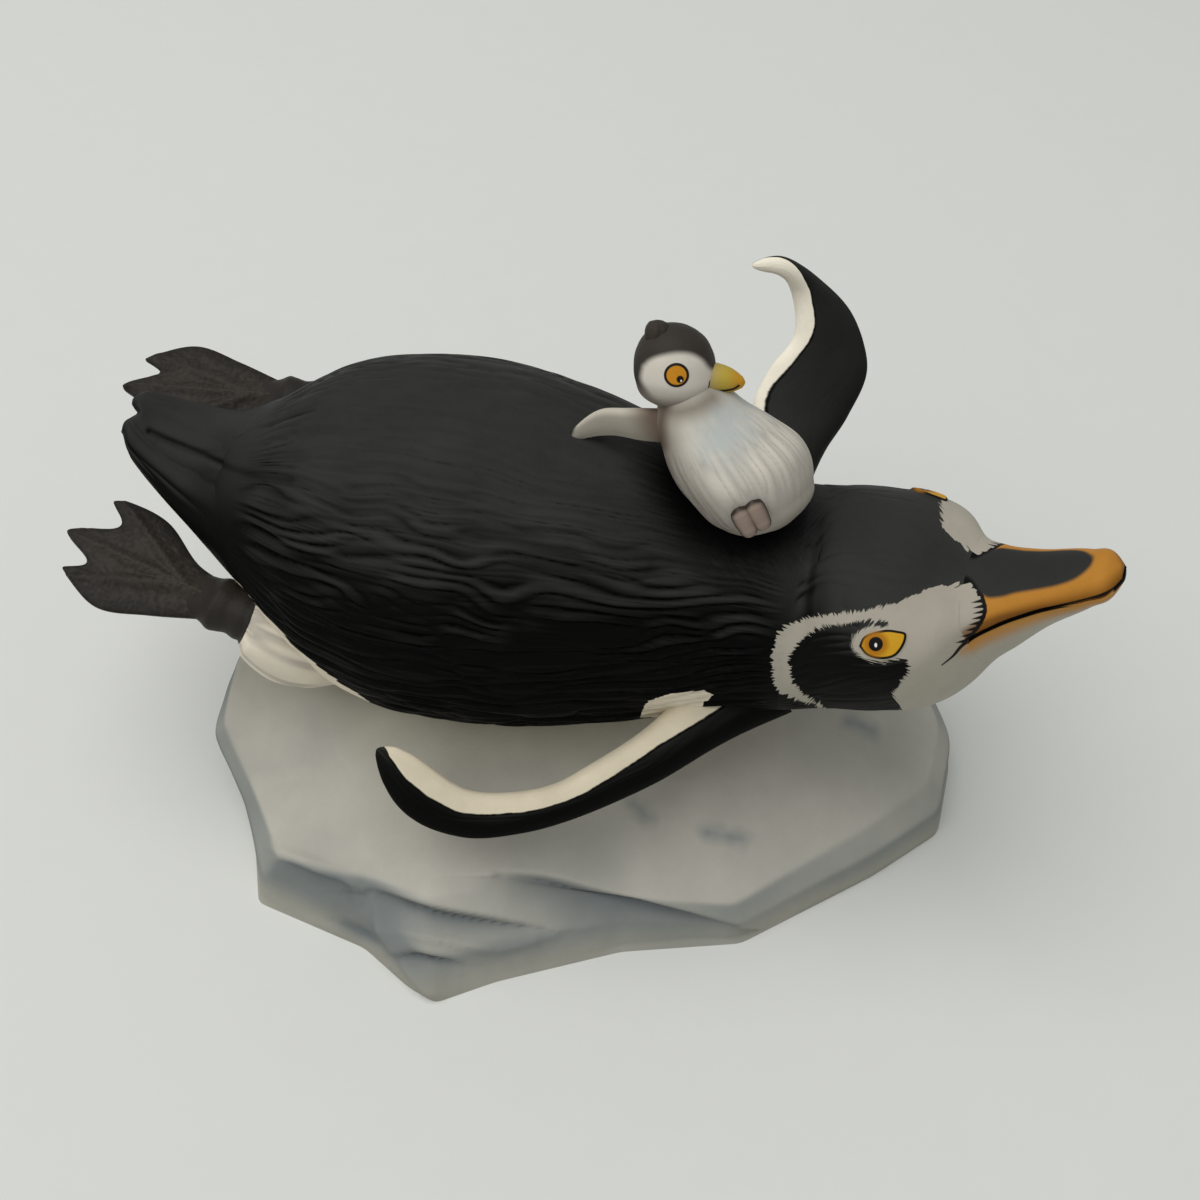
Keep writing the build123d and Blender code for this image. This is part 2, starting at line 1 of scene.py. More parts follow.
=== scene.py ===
import bpy
import numpy as np
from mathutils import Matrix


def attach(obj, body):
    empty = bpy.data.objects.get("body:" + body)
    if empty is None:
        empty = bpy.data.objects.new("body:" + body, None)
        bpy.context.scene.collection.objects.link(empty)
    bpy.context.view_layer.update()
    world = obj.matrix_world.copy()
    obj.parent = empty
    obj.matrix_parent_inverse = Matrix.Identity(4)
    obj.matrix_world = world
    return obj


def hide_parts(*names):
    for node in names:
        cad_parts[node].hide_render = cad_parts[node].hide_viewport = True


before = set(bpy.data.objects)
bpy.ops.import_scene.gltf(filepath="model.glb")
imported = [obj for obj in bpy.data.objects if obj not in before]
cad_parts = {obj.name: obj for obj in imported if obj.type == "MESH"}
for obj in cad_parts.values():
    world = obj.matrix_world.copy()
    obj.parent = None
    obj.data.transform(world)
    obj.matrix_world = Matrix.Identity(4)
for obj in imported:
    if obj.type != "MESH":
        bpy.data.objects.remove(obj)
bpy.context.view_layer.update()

# Viewpoint of the photograph
# The camera looks down on the near side of the figure. Paint edges that were read off the
# photograph are kept as its pixels and found on a surface by looking at it from here.
mm = 0.001
photo_size = 1200
pixels_per_mm = 5.3
camera_tilt = np.radians(48)
camera_half_view = np.radians(20)
camera_target = np.array([0, 16, 40]) * mm
camera_distance = 330 * mm
camera_forward = np.array([0, np.cos(camera_tilt), -np.sin(camera_tilt)])
camera_upward = np.array([0, np.sin(camera_tilt), np.cos(camera_tilt)])
camera_point = camera_target - camera_distance * camera_forward


def photo_pixels(points):
    """Column and row of each point in the photograph: its offsets across and up, over its depth."""
    offset = points - camera_point
    focal = photo_size / 2 / np.tan(camera_half_view)
    depth = offset @ camera_forward
    column = photo_size / 2 + focal * offset[..., 0] / depth
    row = photo_size / 2 - focal * (offset @ camera_upward) / depth
    return np.stack([column, row], -1)


camera = bpy.data.objects.new("Camera", bpy.data.cameras.new("Camera"))
camera.location = camera_point
camera.rotation_euler = (np.pi / 2 - camera_tilt, 0, 0)
camera.data.sensor_width = 36
camera.data.lens = camera.data.sensor_width / 2 / np.tan(camera_half_view)
bpy.context.scene.collection.objects.link(camera)
bpy.context.scene.camera = camera


# Ice floe
# A hollow slip-cast bisque block with softened facets, washed blue-grey, with cream and painted light on its up-facing
# tops and painted shade in its creases, standing on its flat underside, which has a round drain hole. The adult's belly
# is seated in its top.
def smooth(places, values, wanted):
    """Cubic curve through rows of values; each row's slope is that of its neighbours."""
    places = np.asarray(places, float)
    values = np.asarray(values, float)
    slopes = np.gradient(values, places, axis=0)
    left = np.clip(np.searchsorted(places, wanted) - 1, 0, len(places) - 2)
    span = places[left + 1] - places[left]
    t = (wanted - places[left]) / span
    if values.ndim > 1:
        span = span[..., None]
        t = t[..., None]
    start = (2 * t**3 - 3 * t**2 + 1) * values[left] + (t**3 - 2 * t**2 + t) * span * slopes[left]
    end = (3 * t**2 - 2 * t**3) * values[left + 1] + (t**3 - t**2) * span * slopes[left + 1]
    return start + end


def ease(low, high, value):
    """0 below low, 1 above high, and an S-shaped rise between."""
    t = np.clip((value - low) / (high - low), 0, 1)
    return t * t * (3 - 2 * t)


def noise(first, second, seed):
    """Smooth noise from -1 to 1: random heights at whole-numbered places, eased between."""
    cells = 97
    heights = np.random.default_rng(seed).uniform(-1, 1, (cells, cells))
    i = np.floor(first).astype(int)
    j = np.floor(second).astype(int)
    s = ease(0, 1, first - i)
    t = ease(0, 1, second - j)
    near = heights[i % cells, j % cells] * (1 - t) + heights[i % cells, (j + 1) % cells] * t
    far = heights[(i + 1) % cells, j % cells] * (1 - t) + heights[(i + 1) % cells, (j + 1) % cells] * t
    return near * (1 - s) + far * s


def strands(along, around, seed):
    """Feather strands from 0 in a crease to 1 on a ridge: the height of stretched noise above its zero line."""
    sway = noise(along * 0.8, around * 0.35, seed + 1)
    return np.abs(noise(along, around + sway, seed)) ** 0.6


def facing(points):
    """Outward unit normals of a grid of rings: the cross product of its two directions."""
    down = np.gradient(points, axis=0)
    round_ring = np.roll(points, -1, 1) - np.roll(points, 1, 1)
    normal = np.cross(down, round_ring)
    normal /= np.linalg.norm(normal, axis=-1, keepdims=True) + 1e-12
    outward = points - points.mean(axis=1, keepdims=True)
    return normal * np.sign((normal * outward).sum(-1).mean())


def nearest(pixels, line):
    """Distance in pixels to a smooth line through points, how far along it is, and the row offset below it."""
    line = np.asarray(line, float)
    steps = np.linspace(0, len(line) - 1, 8 * len(line))
    curve = smooth(np.arange(len(line)), line, steps)
    best = np.full(pixels.shape[:-1], np.inf)
    share = np.zeros_like(best)
    below = np.zeros_like(best)
    for index, (start, end) in enumerate(zip(curve, curve[1:])):
        part = np.clip((pixels - start) @ (end - start) / ((end - start) @ (end - start)), 0, 1)
        offset = pixels - start - part[..., None] * (end - start)
        distance = np.hypot(offset[..., 0], offset[..., 1])
        closer = distance < best
        best = np.where(closer, distance, best)
        share = np.where(closer, (index + part) / (len(curve) - 1), share)
        below = np.where(closer, offset[..., 1], below)
    return best, share, below


def add_node(tree, kind, inputs=(), **settings):
    """A shader node; inputs are pairs of socket and either a value or the socket that feeds it."""
    made = tree.nodes.new(kind)
    for key, value in settings.items():
        setattr(made, key, value)
    for key, value in inputs:
        if isinstance(value, bpy.types.NodeSocket):
            tree.links.new(value, made.inputs[key])
        else:
            made.inputs[key].default_value = value
    return made


def new_group(name, inputs, outputs):
    """An empty node group with the named sockets, and its input and output nodes."""
    tree = bpy.data.node_groups.new(name, "ShaderNodeTree")
    for key, kind in inputs:
        tree.interface.new_socket(key, in_out="INPUT", socket_type=kind)
    for key, kind in outputs:
        tree.interface.new_socket(key, in_out="OUTPUT", socket_type=kind)
    return tree, tree.nodes.new("NodeGroupInput").outputs, tree.nodes.new("NodeGroupOutput").inputs


def coat_group():
    """One coat of paint: full where the edge value, frayed by stretched noise, is above zero."""
    colour = "NodeSocketColor"
    number = "NodeSocketFloat"
    inputs = [("Ground", colour), ("Paint", colour), ("Edge", number), ("Width", number), ("Hair", number)]
    tree, given, result = new_group("Coat", inputs + [("Strand", "NodeSocketVector")], [("Colour", colour)])
    fray = add_node(tree, "ShaderNodeTexNoise", [("Vector", given["Strand"]), ("Scale", 1.0), ("Detail", 2.0)])
    centred = add_node(tree, "ShaderNodeMath", [(0, fray.outputs[0]), (1, 0.5)], operation="SUBTRACT")
    hair = add_node(tree, "ShaderNodeMath", [(0, centred.outputs[0]), (1, given["Hair"])], operation="MULTIPLY")
    edge = add_node(tree, "ShaderNodeMath", [(0, given["Edge"]), (1, hair.outputs[0])], operation="ADD")
    low = add_node(tree, "ShaderNodeMath", [(0, given["Width"]), (1, -1.0)], operation="MULTIPLY")
    ramp = [("Value", edge.outputs[0]), ("From Min", low.outputs[0]), ("From Max", given["Width"])]
    mask = add_node(tree, "ShaderNodeMapRange", ramp, interpolation_type="SMOOTHSTEP")
    layers = [(0, mask.outputs[0]), (6, given["Ground"]), (7, given["Paint"])]
    mixed = add_node(tree, "ShaderNodeMix", layers, data_type="RGBA")
    tree.links.new(mixed.outputs[2], result["Colour"])
    return tree


def grain_group():
    """Bisque: broad and fine mottling of the paint, and the fine tooth of the fired clay."""
    inputs = [("Colour", "NodeSocketColor"), ("Mottle", "NodeSocketFloat"), ("Tooth", "NodeSocketFloat")]
    outputs = [("Colour", "NodeSocketColor"), ("Normal", "NodeSocketVector")]
    tree, given, result = new_group("Bisque grain", inputs, outputs)
    place = add_node(tree, "ShaderNodeTexCoord").outputs["Object"]
    cloud_inputs = [("Vector", place), ("Scale", 90.0), ("Detail", 6.0), ("Roughness", 0.65)]
    cloud = add_node(tree, "ShaderNodeTexNoise", cloud_inputs)
    swing = add_node(tree, "ShaderNodeMath", [(0, cloud.outputs[0]), (1, 0.5)], operation="SUBTRACT")
    gain_inputs = [(0, swing.outputs[0]), (1, given["Mottle"]), (2, 1.0)]
    gain = add_node(tree, "ShaderNodeMath", gain_inputs, operation="MULTIPLY_ADD")
    tint = add_node(tree, "ShaderNodeVectorMath", [(0, given["Colour"]), ("Scale", gain.outputs[0])], operation="SCALE")
    tooth = add_node(tree, "ShaderNodeTexNoise", [("Vector", place), ("Scale", 1500.0), ("Detail", 2.0)])
    bump_inputs = [("Strength", given["Tooth"]), ("Distance", 0.2 * mm), ("Height", tooth.outputs[0])]
    bump = add_node(tree, "ShaderNodeBump", bump_inputs)
    tree.links.new(tint.outputs[0], result["Colour"])
    tree.links.new(bump.outputs[0], result["Normal"])
    return tree


coat = coat_group()
grain = grain_group()


def bisque(name, ground, coats, roughness, mottle, tooth, gloss=0.14):
    """Painted bisque: a ground colour and coats given as attribute, colour, edge width and hair length in mm."""
    material = bpy.data.materials.new(name)
    material.use_nodes = True
    tree = material.node_tree
    shader = tree.nodes["Principled BSDF"]
    strand = add_node(tree, "ShaderNodeAttribute", attribute_name="strand").outputs["Vector"]
    colour = (*ground, 1)
    for attribute, paint, width, hair in coats:
        edge = add_node(tree, "ShaderNodeAttribute", attribute_name=attribute).outputs["Fac"]
        inputs = [("Ground", colour), ("Paint", (*paint, 1)), ("Edge", edge), ("Width", width), ("Hair", hair)]
        layer = add_node(tree, "ShaderNodeGroup", inputs + [("Strand", strand)], node_tree=coat)
        colour = layer.outputs[0]
    inputs = [("Colour", colour), ("Mottle", mottle), ("Tooth", tooth)]
    finish = add_node(tree, "ShaderNodeGroup", inputs, node_tree=grain)
    tree.links.new(finish.outputs["Colour"], shader.inputs["Base Color"])
    tree.links.new(finish.outputs["Normal"], shader.inputs["Normal"])
    shader.inputs["Roughness"].default_value = roughness
    shader.inputs["Specular IOR Level"].default_value = gloss
    return material


def add_piece(node, slot, material, *shells):
    """One mesh for a node: each shell is rings of points, its paint values and how its last ring closes."""
    points_of, faces, values_of = [], [], {}
    offset = 0
    for points, paint, closing in shells:
        rows, columns = points.shape[:2]
        index = offset + np.arange(rows * columns).reshape(rows, columns)
        after = np.roll(index, -1, axis=1)
        first = offset + rows * columns
        last = first + 1
        quads = np.stack([index[:-1], after[:-1], after[1:], index[1:]], -1).reshape(-1, 4)
        start = np.stack([np.full(columns, first), after[0], index[0]], -1)
        fan = np.stack([np.full(columns, last), index[-1], after[-1]], -1)
        poles = [points[:1].mean(1), points[-1:].mean(1)]
        if closing == "seam":
            half = np.arange(columns // 2)
            ring = index[-1]
            fan = np.stack([ring[half], ring[half + 1], ring[-half - 1], ring[-half]], -1)[1:-1]
            ends = np.stack([ring[[0, columns // 2]], ring[[1, columns // 2 + 1]], ring[[-1, columns // 2 - 1]]], -1)
            start = np.concatenate([start, ends])
            poles = poles[:1]
        flat = np.concatenate([points.reshape(-1, 3), *poles])
        a, b, c, d = (flat[quads[:, k] - offset] for k in range(4))
        volume = (a * np.cross(b, c)).sum() + (a * np.cross(c, d)).sum()
        shell_faces = [*quads.tolist(), *start.tolist(), *fan.tolist()]
        if volume < 0:
            shell_faces = [face[::-1] for face in shell_faces]
        points_of.append(flat)
        faces += shell_faces
        for key, value in paint.items():
            value = np.broadcast_to(value, (rows, columns) + np.shape(value)[2:])
            tail = [value[:1].mean(1), value[-1:].mean(1)][:len(poles)]
            value = np.concatenate([value.reshape(rows * columns, -1), *[t.reshape(1, -1) for t in tail]])
            values_of.setdefault(key, []).append(value)
        offset += len(flat)
    mesh = bpy.data.meshes.new(node)
    mesh.from_pydata(np.concatenate(points_of).tolist(), [], faces)
    for key, parts in values_of.items():
        value = np.concatenate(parts)
        kind, field = ("FLOAT", "value") if value.shape[1] == 1 else ("FLOAT_VECTOR", "vector")
        mesh.attributes.new(key, kind, "POINT").data.foreach_set(field, value.astype(np.float32).ravel())
    mesh.polygons.foreach_set("use_smooth", np.ones(len(mesh.polygons), bool))
    mesh.set_sharp_from_angle(angle=np.radians(60))
    mesh.materials.append(material)
    piece = bpy.data.objects.new(node + "_shown", mesh)
    bpy.context.scene.collection.objects.link(piece)
    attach(piece, "root")
    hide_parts(node)
    return piece


base_size = np.array([155, 103, 29]) * mm
drain_radius = 7 * mm
drain_depth = 5 * mm
drain_place = np.array([34, 0, 0]) * mm
base_top_shares = (-0.065, 0.1, 1.0)
# One row a corner, counter-clockwise from the right end: floor, shelf, rim, plateau
base_corner_shares = [
    ((0.484, 0.06, 0), (0.484, 0.07, 0.205), (0.465, 0.09, 0.31), (0.29, 0.12, 0.585)),
    ((0.452, 0.25, 0), (0.452, 0.25, 0.24), (0.426, 0.24, 0.41), (0.27, 0.23, 0.69)),
    ((0.31, 0.41, 0), (0.303, 0.41, 0.28), (0.284, 0.39, 0.52), (0.18, 0.29, 0.79)),
    ((0.097, 0.485, 0), (0.097, 0.485, 0.31), (0.09, 0.455, 0.585), (0.03, 0.35, 0.865)),
    ((-0.161, 0.495, 0), (-0.161, 0.495, 0.345), (-0.155, 0.465, 0.65), (-0.13, 0.37, 0.895)),
    ((-0.374, 0.43, 0), (-0.387, 0.435, 0.41), (-0.368, 0.41, 0.725), (-0.27, 0.33, 0.93)),
    ((-0.471, 0.21, 0), (-0.503, 0.19, 0.485), (-0.484, 0.175, 0.79), (-0.335, 0.175, 0.93)),
    ((-0.465, 0.02, 0), (-0.516, 0.02, 0.52), (-0.497, 0.02, 0.64), (-0.36, 0.04, 0.865)),
    ((-0.458, -0.14, 0), (-0.471, -0.10, 0.31), (-0.458, -0.087, 0.445), (-0.335, -0.08, 0.725)),
    ((-0.44, -0.285, 0), (-0.435, -0.265, 0.205), (-0.406, -0.26, 0.41), (-0.297, -0.136, 0.69)),
    ((-0.297, -0.385, 0), (-0.297, -0.36, 0.24), (-0.29, -0.32, 0.52), (-0.206, -0.155, 0.725)),
    ((-0.239, -0.466, 0), (-0.245, -0.42, 0.31), (-0.245, -0.35, 0.55), (-0.142, -0.155, 0.755)),
    ((-0.203, -0.5, 0), (-0.21, -0.455, 0.28), (-0.21, -0.37, 0.53), (-0.116, -0.155, 0.755)),
    ((-0.129, -0.456, 0), (-0.123, -0.417, 0.28), (-0.116, -0.33, 0.52), (-0.077, -0.155, 0.755)),
    ((0.026, -0.393, 0), (0.026, -0.374, 0.205), (0.032, -0.34, 0.38), (0.032, -0.136, 0.705)),
    ((0.178, -0.375, 0), (0.176, -0.365, 0.16), (0.168, -0.34, 0.295), (0.129, -0.117, 0.65)),
    ((0.355, -0.225, 0), (0.352, -0.212, 0.205), (0.342, -0.175, 0.345), (0.219, -0.058, 0.605)),
    ((0.45, -0.125, 0), (0.45, -0.11, 0.205), (0.432, -0.068, 0.325), (0.271, 0.02, 0.585)),
]
# Creases of the ice in photograph pixels: line, depth, widths above and below it in pixels
upper_fold_px = [(498, 876), (545, 880), (590, 892), (640, 906), (690, 919), (738, 931)]
second_fold_px = [(370, 892), (400, 903), (440, 914), (490, 923), (545, 932)]
lower_cleft_px = [(393, 955), (425, 960), (464, 967)]
left_recess_px = [(282, 862), (312, 873), (345, 882), (352, 905)]
prow_foot_px = [(335, 922), (360, 934), (384, 946)]
rim_ridge_px = [(272, 850), (300, 861), (335, 876), (366, 888)]
prow_ridge_px = [(371, 897), (382, 929), (408, 968), (438, 1003)]
shelf_ridge_px = [(382, 929), (423, 938), (465, 946), (501, 951), (553, 938)]
ice_creases = [
    (rim_ridge_px, -1.5 * mm, 9, 5),
    (prow_ridge_px, -1.9 * mm, 8, 7),
    (shelf_ridge_px, -1.4 * mm, 8, 5),
    (upper_fold_px, 3.2 * mm, 4, 28),
    (second_fold_px, 2.8 * mm, 4, 20),
    (lower_cleft_px, 2.2 * mm, 4, 7),
    (left_recess_px, 0.8 * mm, 4, 12),
    (prow_foot_px, 0.8 * mm, 9, 5),
]

# Blue-grey smudges on the top of the ice in photograph pixels: line and half width
smudges_px = [([(708, 832), (724, 836), (742, 839)], 3), ([(632, 805), (641, 811), (648, 818)], 3),
              ([(848, 721), (860, 725), (874, 731)], 2)]


def soften(points, reach, wraps):
    """Points averaged with their neighbours by a bell-shaped weight over a number of steps."""
    steps = np.arange(-2 * reach, 2 * reach + 1)
    weights = np.exp(-((steps / reach) ** 2))
    padded = points if wraps else np.pad(points, ((2 * reach, 2 * reach), (0, 0), (0, 0)), mode="edge")
    axis = 1 if wraps else 0
    total = sum(weight * np.roll(padded, step, axis) for step, weight in zip(steps, weights))
    total = total / weights.sum()
    return total if wraps else total[2 * reach:-2 * reach]


def ice_base():
    """Straight runs between the corner rings, softened, then creased and lumped along the normals."""
    columns = 590
    front_density = 2.4
    corners = np.array(base_corner_shares) * base_size
    loop = np.concatenate([corners, corners[:1]])
    lengths = np.linalg.norm(np.diff(loop[:, 1], axis=0), axis=1)
    lengths = lengths * np.where(loop[1:, 1, 1] < -0.09 * base_size[1], front_density, 1)
    places = np.concatenate([[0], np.cumsum(lengths)])
    wanted = np.linspace(0, places[-1], columns, endpoint=False)
    rings = np.array([[np.interp(wanted, places, loop[:, level, k]) for k in range(3)] for level in range(4)])
    rings = rings.transpose(0, 2, 1)
    top = np.broadcast_to(np.array(base_top_shares) * base_size, rings[:1].shape)
    rings = np.concatenate([rings, top])
    shares = np.concatenate([np.linspace(0, 1, 14), np.linspace(1, 2, 16)[1:], np.linspace(2, 3, 72)[1:],
                             np.linspace(3, 3.98, 38)[1:]])
    level = np.minimum(shares.astype(int), 3)
    part = (shares - level)[:, None, None]
    skin = rings[level] * (1 - part) + rings[level + 1] * part
    floor_ring = skin[:1].copy()
    skin = soften(soften(skin, 4, True), 2, False)
    skin[:1] = soften(floor_ring, 3, True)
    normal = facing(skin)
    pixels = photo_pixels(skin)
    seen = ease(0, 0.2, ((camera_point - skin) * normal).sum(-1) / camera_distance)
    inner = ease(0, 0.15, shares)[:, None]
    sunk = np.zeros((*skin.shape[:2], 2))
    for line, depth, above, beneath in ice_creases:
        distance, share, below = nearest(pixels, line)
        fall = np.where(below < 0, np.exp(-((distance / above) ** 2)), np.exp(-distance / beneath))
        cut = fall * ease(0, 1, 2 - distance / 40) * seen * np.sin(np.pi * np.clip(share, 0.04, 0.96)) ** 0.5
        sunk[..., 0] += depth * cut
        sunk[..., 1] = np.maximum(sunk[..., 1], np.sign(depth) * cut)
    sunk = soften(sunk, 1, True)
    skin = skin - normal * sunk[..., :1] * inner[..., None]
    smudge = np.full(skin.shape[:2], -9.0)
    for line, width in smudges_px:
        distance, _, _ = nearest(pixels, line)
        smudge = np.maximum(smudge, (width - distance) / pixels_per_mm)
    smudge = np.where(seen > 0.5, smudge, -9) + 0.5 * noise(skin[..., 0] / (1.6 * mm), skin[..., 1] / (1.6 * mm), 10)
    lump = noise(skin[..., 0] / (17 * mm), skin[..., 1] / (17 * mm), 5) * 0.5 * mm
    lump += noise(skin[..., 0] / (6 * mm), (skin[..., 1] + skin[..., 2]) / (6 * mm), 6) * 0.12 * mm
    skin = skin + normal * (lump * inner)[..., None]
    bearing = skin[0] - drain_place
    drain_ring = drain_place + drain_radius * bearing / np.linalg.norm(bearing, axis=-1, keepdims=True)
    under = skin[0] + (drain_ring - skin[0]) * np.linspace(0, 1, 12)[1:, None, None]
    wall = drain_ring + np.linspace(0, 1, 5)[1:, None, None] * np.array([0, 0, drain_depth])
    points = np.concatenate([wall[::-1], under[::-1], skin])
    extra = np.zeros((len(wall) + len(under), columns))
    height = points[..., 2] / base_size[2]
    level_top = np.concatenate([extra, normal[..., 2]])
    # Cream on the up-facing tops: the ice's cream wash, brightened as painted light where the tops face up.
    cream_and_top_light = level_top * 2.2 - 1.55 + 0.35 * noise(points[..., 0] / (14 * mm), points[..., 1] / (14 * mm), 9)
    return points, {"cream": cream_and_top_light, "crease": np.concatenate([extra, sunk[..., 1]]) - 0.4, "foot": 0.16 - height,
                    "smudge": np.concatenate([extra - 9, smudge])}


ice_colour = (0.215, 0.23, 0.225)
ice_lit_cream = (0.53, 0.51, 0.45)
ice_shadow = (0.17, 0.19, 0.195)
ice_foot = (0.38, 0.37, 0.32)
ice_smudge = (0.24, 0.265, 0.275)
# Coats: cream with painted light on the up-facing tops, a paler foot, painted shade in the creases, and blue-grey
# smudges.
ice_coats = [("cream", ice_lit_cream, 0.7, 0), ("foot", ice_foot, 0.12, 0), ("crease", ice_shadow, 0.6, 0),
             ("smudge", ice_smudge, 2.4, 0)]
ice_paint = bisque("Ice bisque", ice_colour, ice_coats, 0.7, 0.28, 0.25)
ice_points, ice_edges = ice_base()
add_piece("ice_base", "ice_bisque", ice_paint, (ice_points, ice_edges, "pole"))


# Adult's torso
# A hollow bisque body, open at the neck, with wavy feather strands carved along its back and
# flanks. It is painted matt charcoal, lighter grey where it faces up and on raised strands as dust and painted sheen,
# deeper black round the chick as its painted shadow, with the belly left cream white behind a brushed edge.
def place(x, y, z):
    """A shift, as a four by four matrix."""
    matrix = np.eye(4)
    matrix[:3, 3] = (x, y, z)
    return matrix


def turn(axis, degrees):
    """A right-handed turn about the X, Y or Z axis, as a four by four matrix."""
    matrix = np.eye(4)
    first, second = {"X": (1, 2), "Y": (2, 0), "Z": (0, 1)}[axis]
    angle = np.radians(degrees)
    matrix[first, first] = matrix[second, second] = np.cos(angle)
    matrix[second, first] = np.sin(angle)
    matrix[first, second] = -np.sin(angle)
    return matrix


def moved(matrix, points):
    """Points carried by a matrix."""
    return points @ matrix[:3, :3].T + matrix[:3, 3]


def inside(pixels, outline):
    """Distance in millimetres within a closed smooth outline of pixels, negative outside it."""
    corners = np.asarray([*outline, outline[0]], float)
    distance, _, _ = nearest(pixels, corners)
    steps = np.linspace(0, len(corners) - 1, 8 * len(corners))
    curve = smooth(np.arange(len(corners)), corners, steps)
    odd = np.zeros(distance.shape, bool)
    for start, end in zip(curve, curve[1:]):
        crosses = (start[1] > pixels[..., 1]) != (end[1] > pixels[..., 1])
        rise = end[1] - start[1] if end[1] != start[1] else 1e-9
        meets = start[0] + (pixels[..., 1] - start[1]) * (end[0] - start[0]) / rise
        odd ^= crosses & (pixels[..., 0] < meets)
    return np.where(odd, distance, -distance) / pixels_per_mm


torso_length = 113 * mm
torso_width = 71 * mm
torso_depth = 31 * mm
head_length = 34.9 * mm
head_width = 44.6 * mm
head_rise = 17.6 * mm
head_drop = 21.7 * mm
head_pitch = 27.5
head_roll = -15.5
bill_length = 26.2 * mm
belly_sink = 2 * mm
torso_place = place(-25 * mm, 16 * mm, base_size[2] + torso_depth - belly_sink) @ turn("Z", -12.5) @ turn("X", 17)
# Torso stations: along, lift of the axis, half width, rise, drop
torso_station_shares = [
    (-0.44, 0.19, 0.16, 0.21, 0.23),
    (-0.405, 0.18, 0.207, 0.375, 0.405),
    (-0.335, 0.15, 0.29, 0.565, 0.61),
    (-0.24, 0.09, 0.408, 0.81, 0.84),
    (-0.125, 0.025, 0.482, 0.95, 0.97),
    (0.0, 0.0, 0.5, 1.0, 1.0),
    (0.125, -0.02, 0.479, 0.985, 1.0),
    (0.25, -0.04, 0.43, 0.92, 0.97),
    (0.37, -0.065, 0.375, 0.81, 0.87),
    (0.48, -0.08, 0.328, 0.71, 0.77),
    (0.56, -0.08, 0.305, 0.645, 0.715),
]
# Head stations: along, part of the head's tilt, half width, rise, drop
head_station_shares = [
    (0.14, 0.3, 0.485, 0.99, 0.92),
    (0.27, 0.6, 0.492, 0.95, 0.93),
    (0.51, 1.0, 0.5, 0.83, 0.98),
    (0.71, 1.0, 0.475, 0.64, 0.98),
    (0.90, 1.0, 0.375, 0.38, 0.86),
    (1.0, 1.0, 0.255, 0.26, 0.76),
]
# Bill stations: along, lift, half width, rise and drop of the bill's root
bill_station_shares = [
    (0.18, 0.0, 0.76, 0.80, 0.84),
    (0.42, 0.0, 0.61, 0.75, 0.58),
    (0.78, 0.0, 0.49, 0.86, 0.27),
    (0.94, 0.01, 0.36, 0.72, 0.15),
    (1.0, 0.02, 0.15, 0.30, 0.06),
]
neck_along = torso_station_shares[-1][0] * torso_length
neck_lift = torso_station_shares[-1][1] * torso_depth
bill_along = neck_along + head_length
neck_place = place(neck_along, 0, neck_lift) @ turn("Y", -head_pitch) @ turn("X", head_roll)


def adult_stations():
    """All sections from rump to bill tip: distance along, centre, part of the tilt, half width, rise and drop."""
    rows = []
    for along, lift, half, rise, drop in torso_station_shares:
        size = (half * torso_width, rise * torso_depth, drop * torso_depth)
        rows.append((along * torso_length, along * torso_length, 0, lift * torso_depth, 0, *size))
    for along, part, half, rise, drop in head_station_shares:
        centre = moved(neck_place, np.array([along * head_length, 0, 0]))
        size = (half * head_width, rise * head_rise, drop * head_drop)
        rows.append((neck_along + along * head_length, *centre, part, *size))
    root = rows[-1]
    for along, lift, half, rise, drop in bill_station_shares:
        centre = moved(neck_place, np.array([head_length + along * bill_length, 0, lift * bill_length]))
        size = (half * root[5], rise * root[6], drop * root[7])
        rows.append((bill_along + along * bill_length, *centre, 1, *size))
    return np.array(rows)


adult_table = adult_stations()


def adult_skin(along, angle):
    """Rings of the adult: half ellipses above and below the axis; angle runs from the back to its right side."""
    row = smooth(adult_table[:, 0], adult_table[:, 1:], along)[:, None]
    part = row[..., 3]
    side = -row[..., 4] * np.sin(angle)
    up = np.where(np.cos(angle) > 0, row[..., 5], row[..., 6]) * np.cos(angle)
    roll = np.radians(head_roll) * part
    pitch = np.radians(head_pitch) * part
    level = side * np.cos(roll) - up * np.sin(roll)
    height = side * np.sin(roll) + up * np.cos(roll)
    local = np.stack([-height * np.sin(pitch), level, height * np.cos(pitch)], -1)
    return moved(torso_place, row[..., :3] + local)


def near_pixels(along, angle):
    """Where the right-hand twin of each place on the adult shows; what is hidden takes the outline's pixel."""
    probe = np.linspace(0, np.pi, 181)
    ring = adult_skin(along, np.concatenate([probe, probe[-2:0:-1] + np.pi]))
    turned = ((camera_point - ring) * facing(ring)).sum(-1)[:, :181] > 0
    last = probe[180 - np.argmax(turned[:, ::-1], axis=1)]
    return photo_pixels(adult_skin(along, np.minimum(np.abs(angle), last[:, None] - 0.04)))


def both_sides(half_angles):
    """Angles of a whole ring: down the right side, then back up the left side as negative angles."""
    return np.concatenate([half_angles, -half_angles[-2:0:-1]])


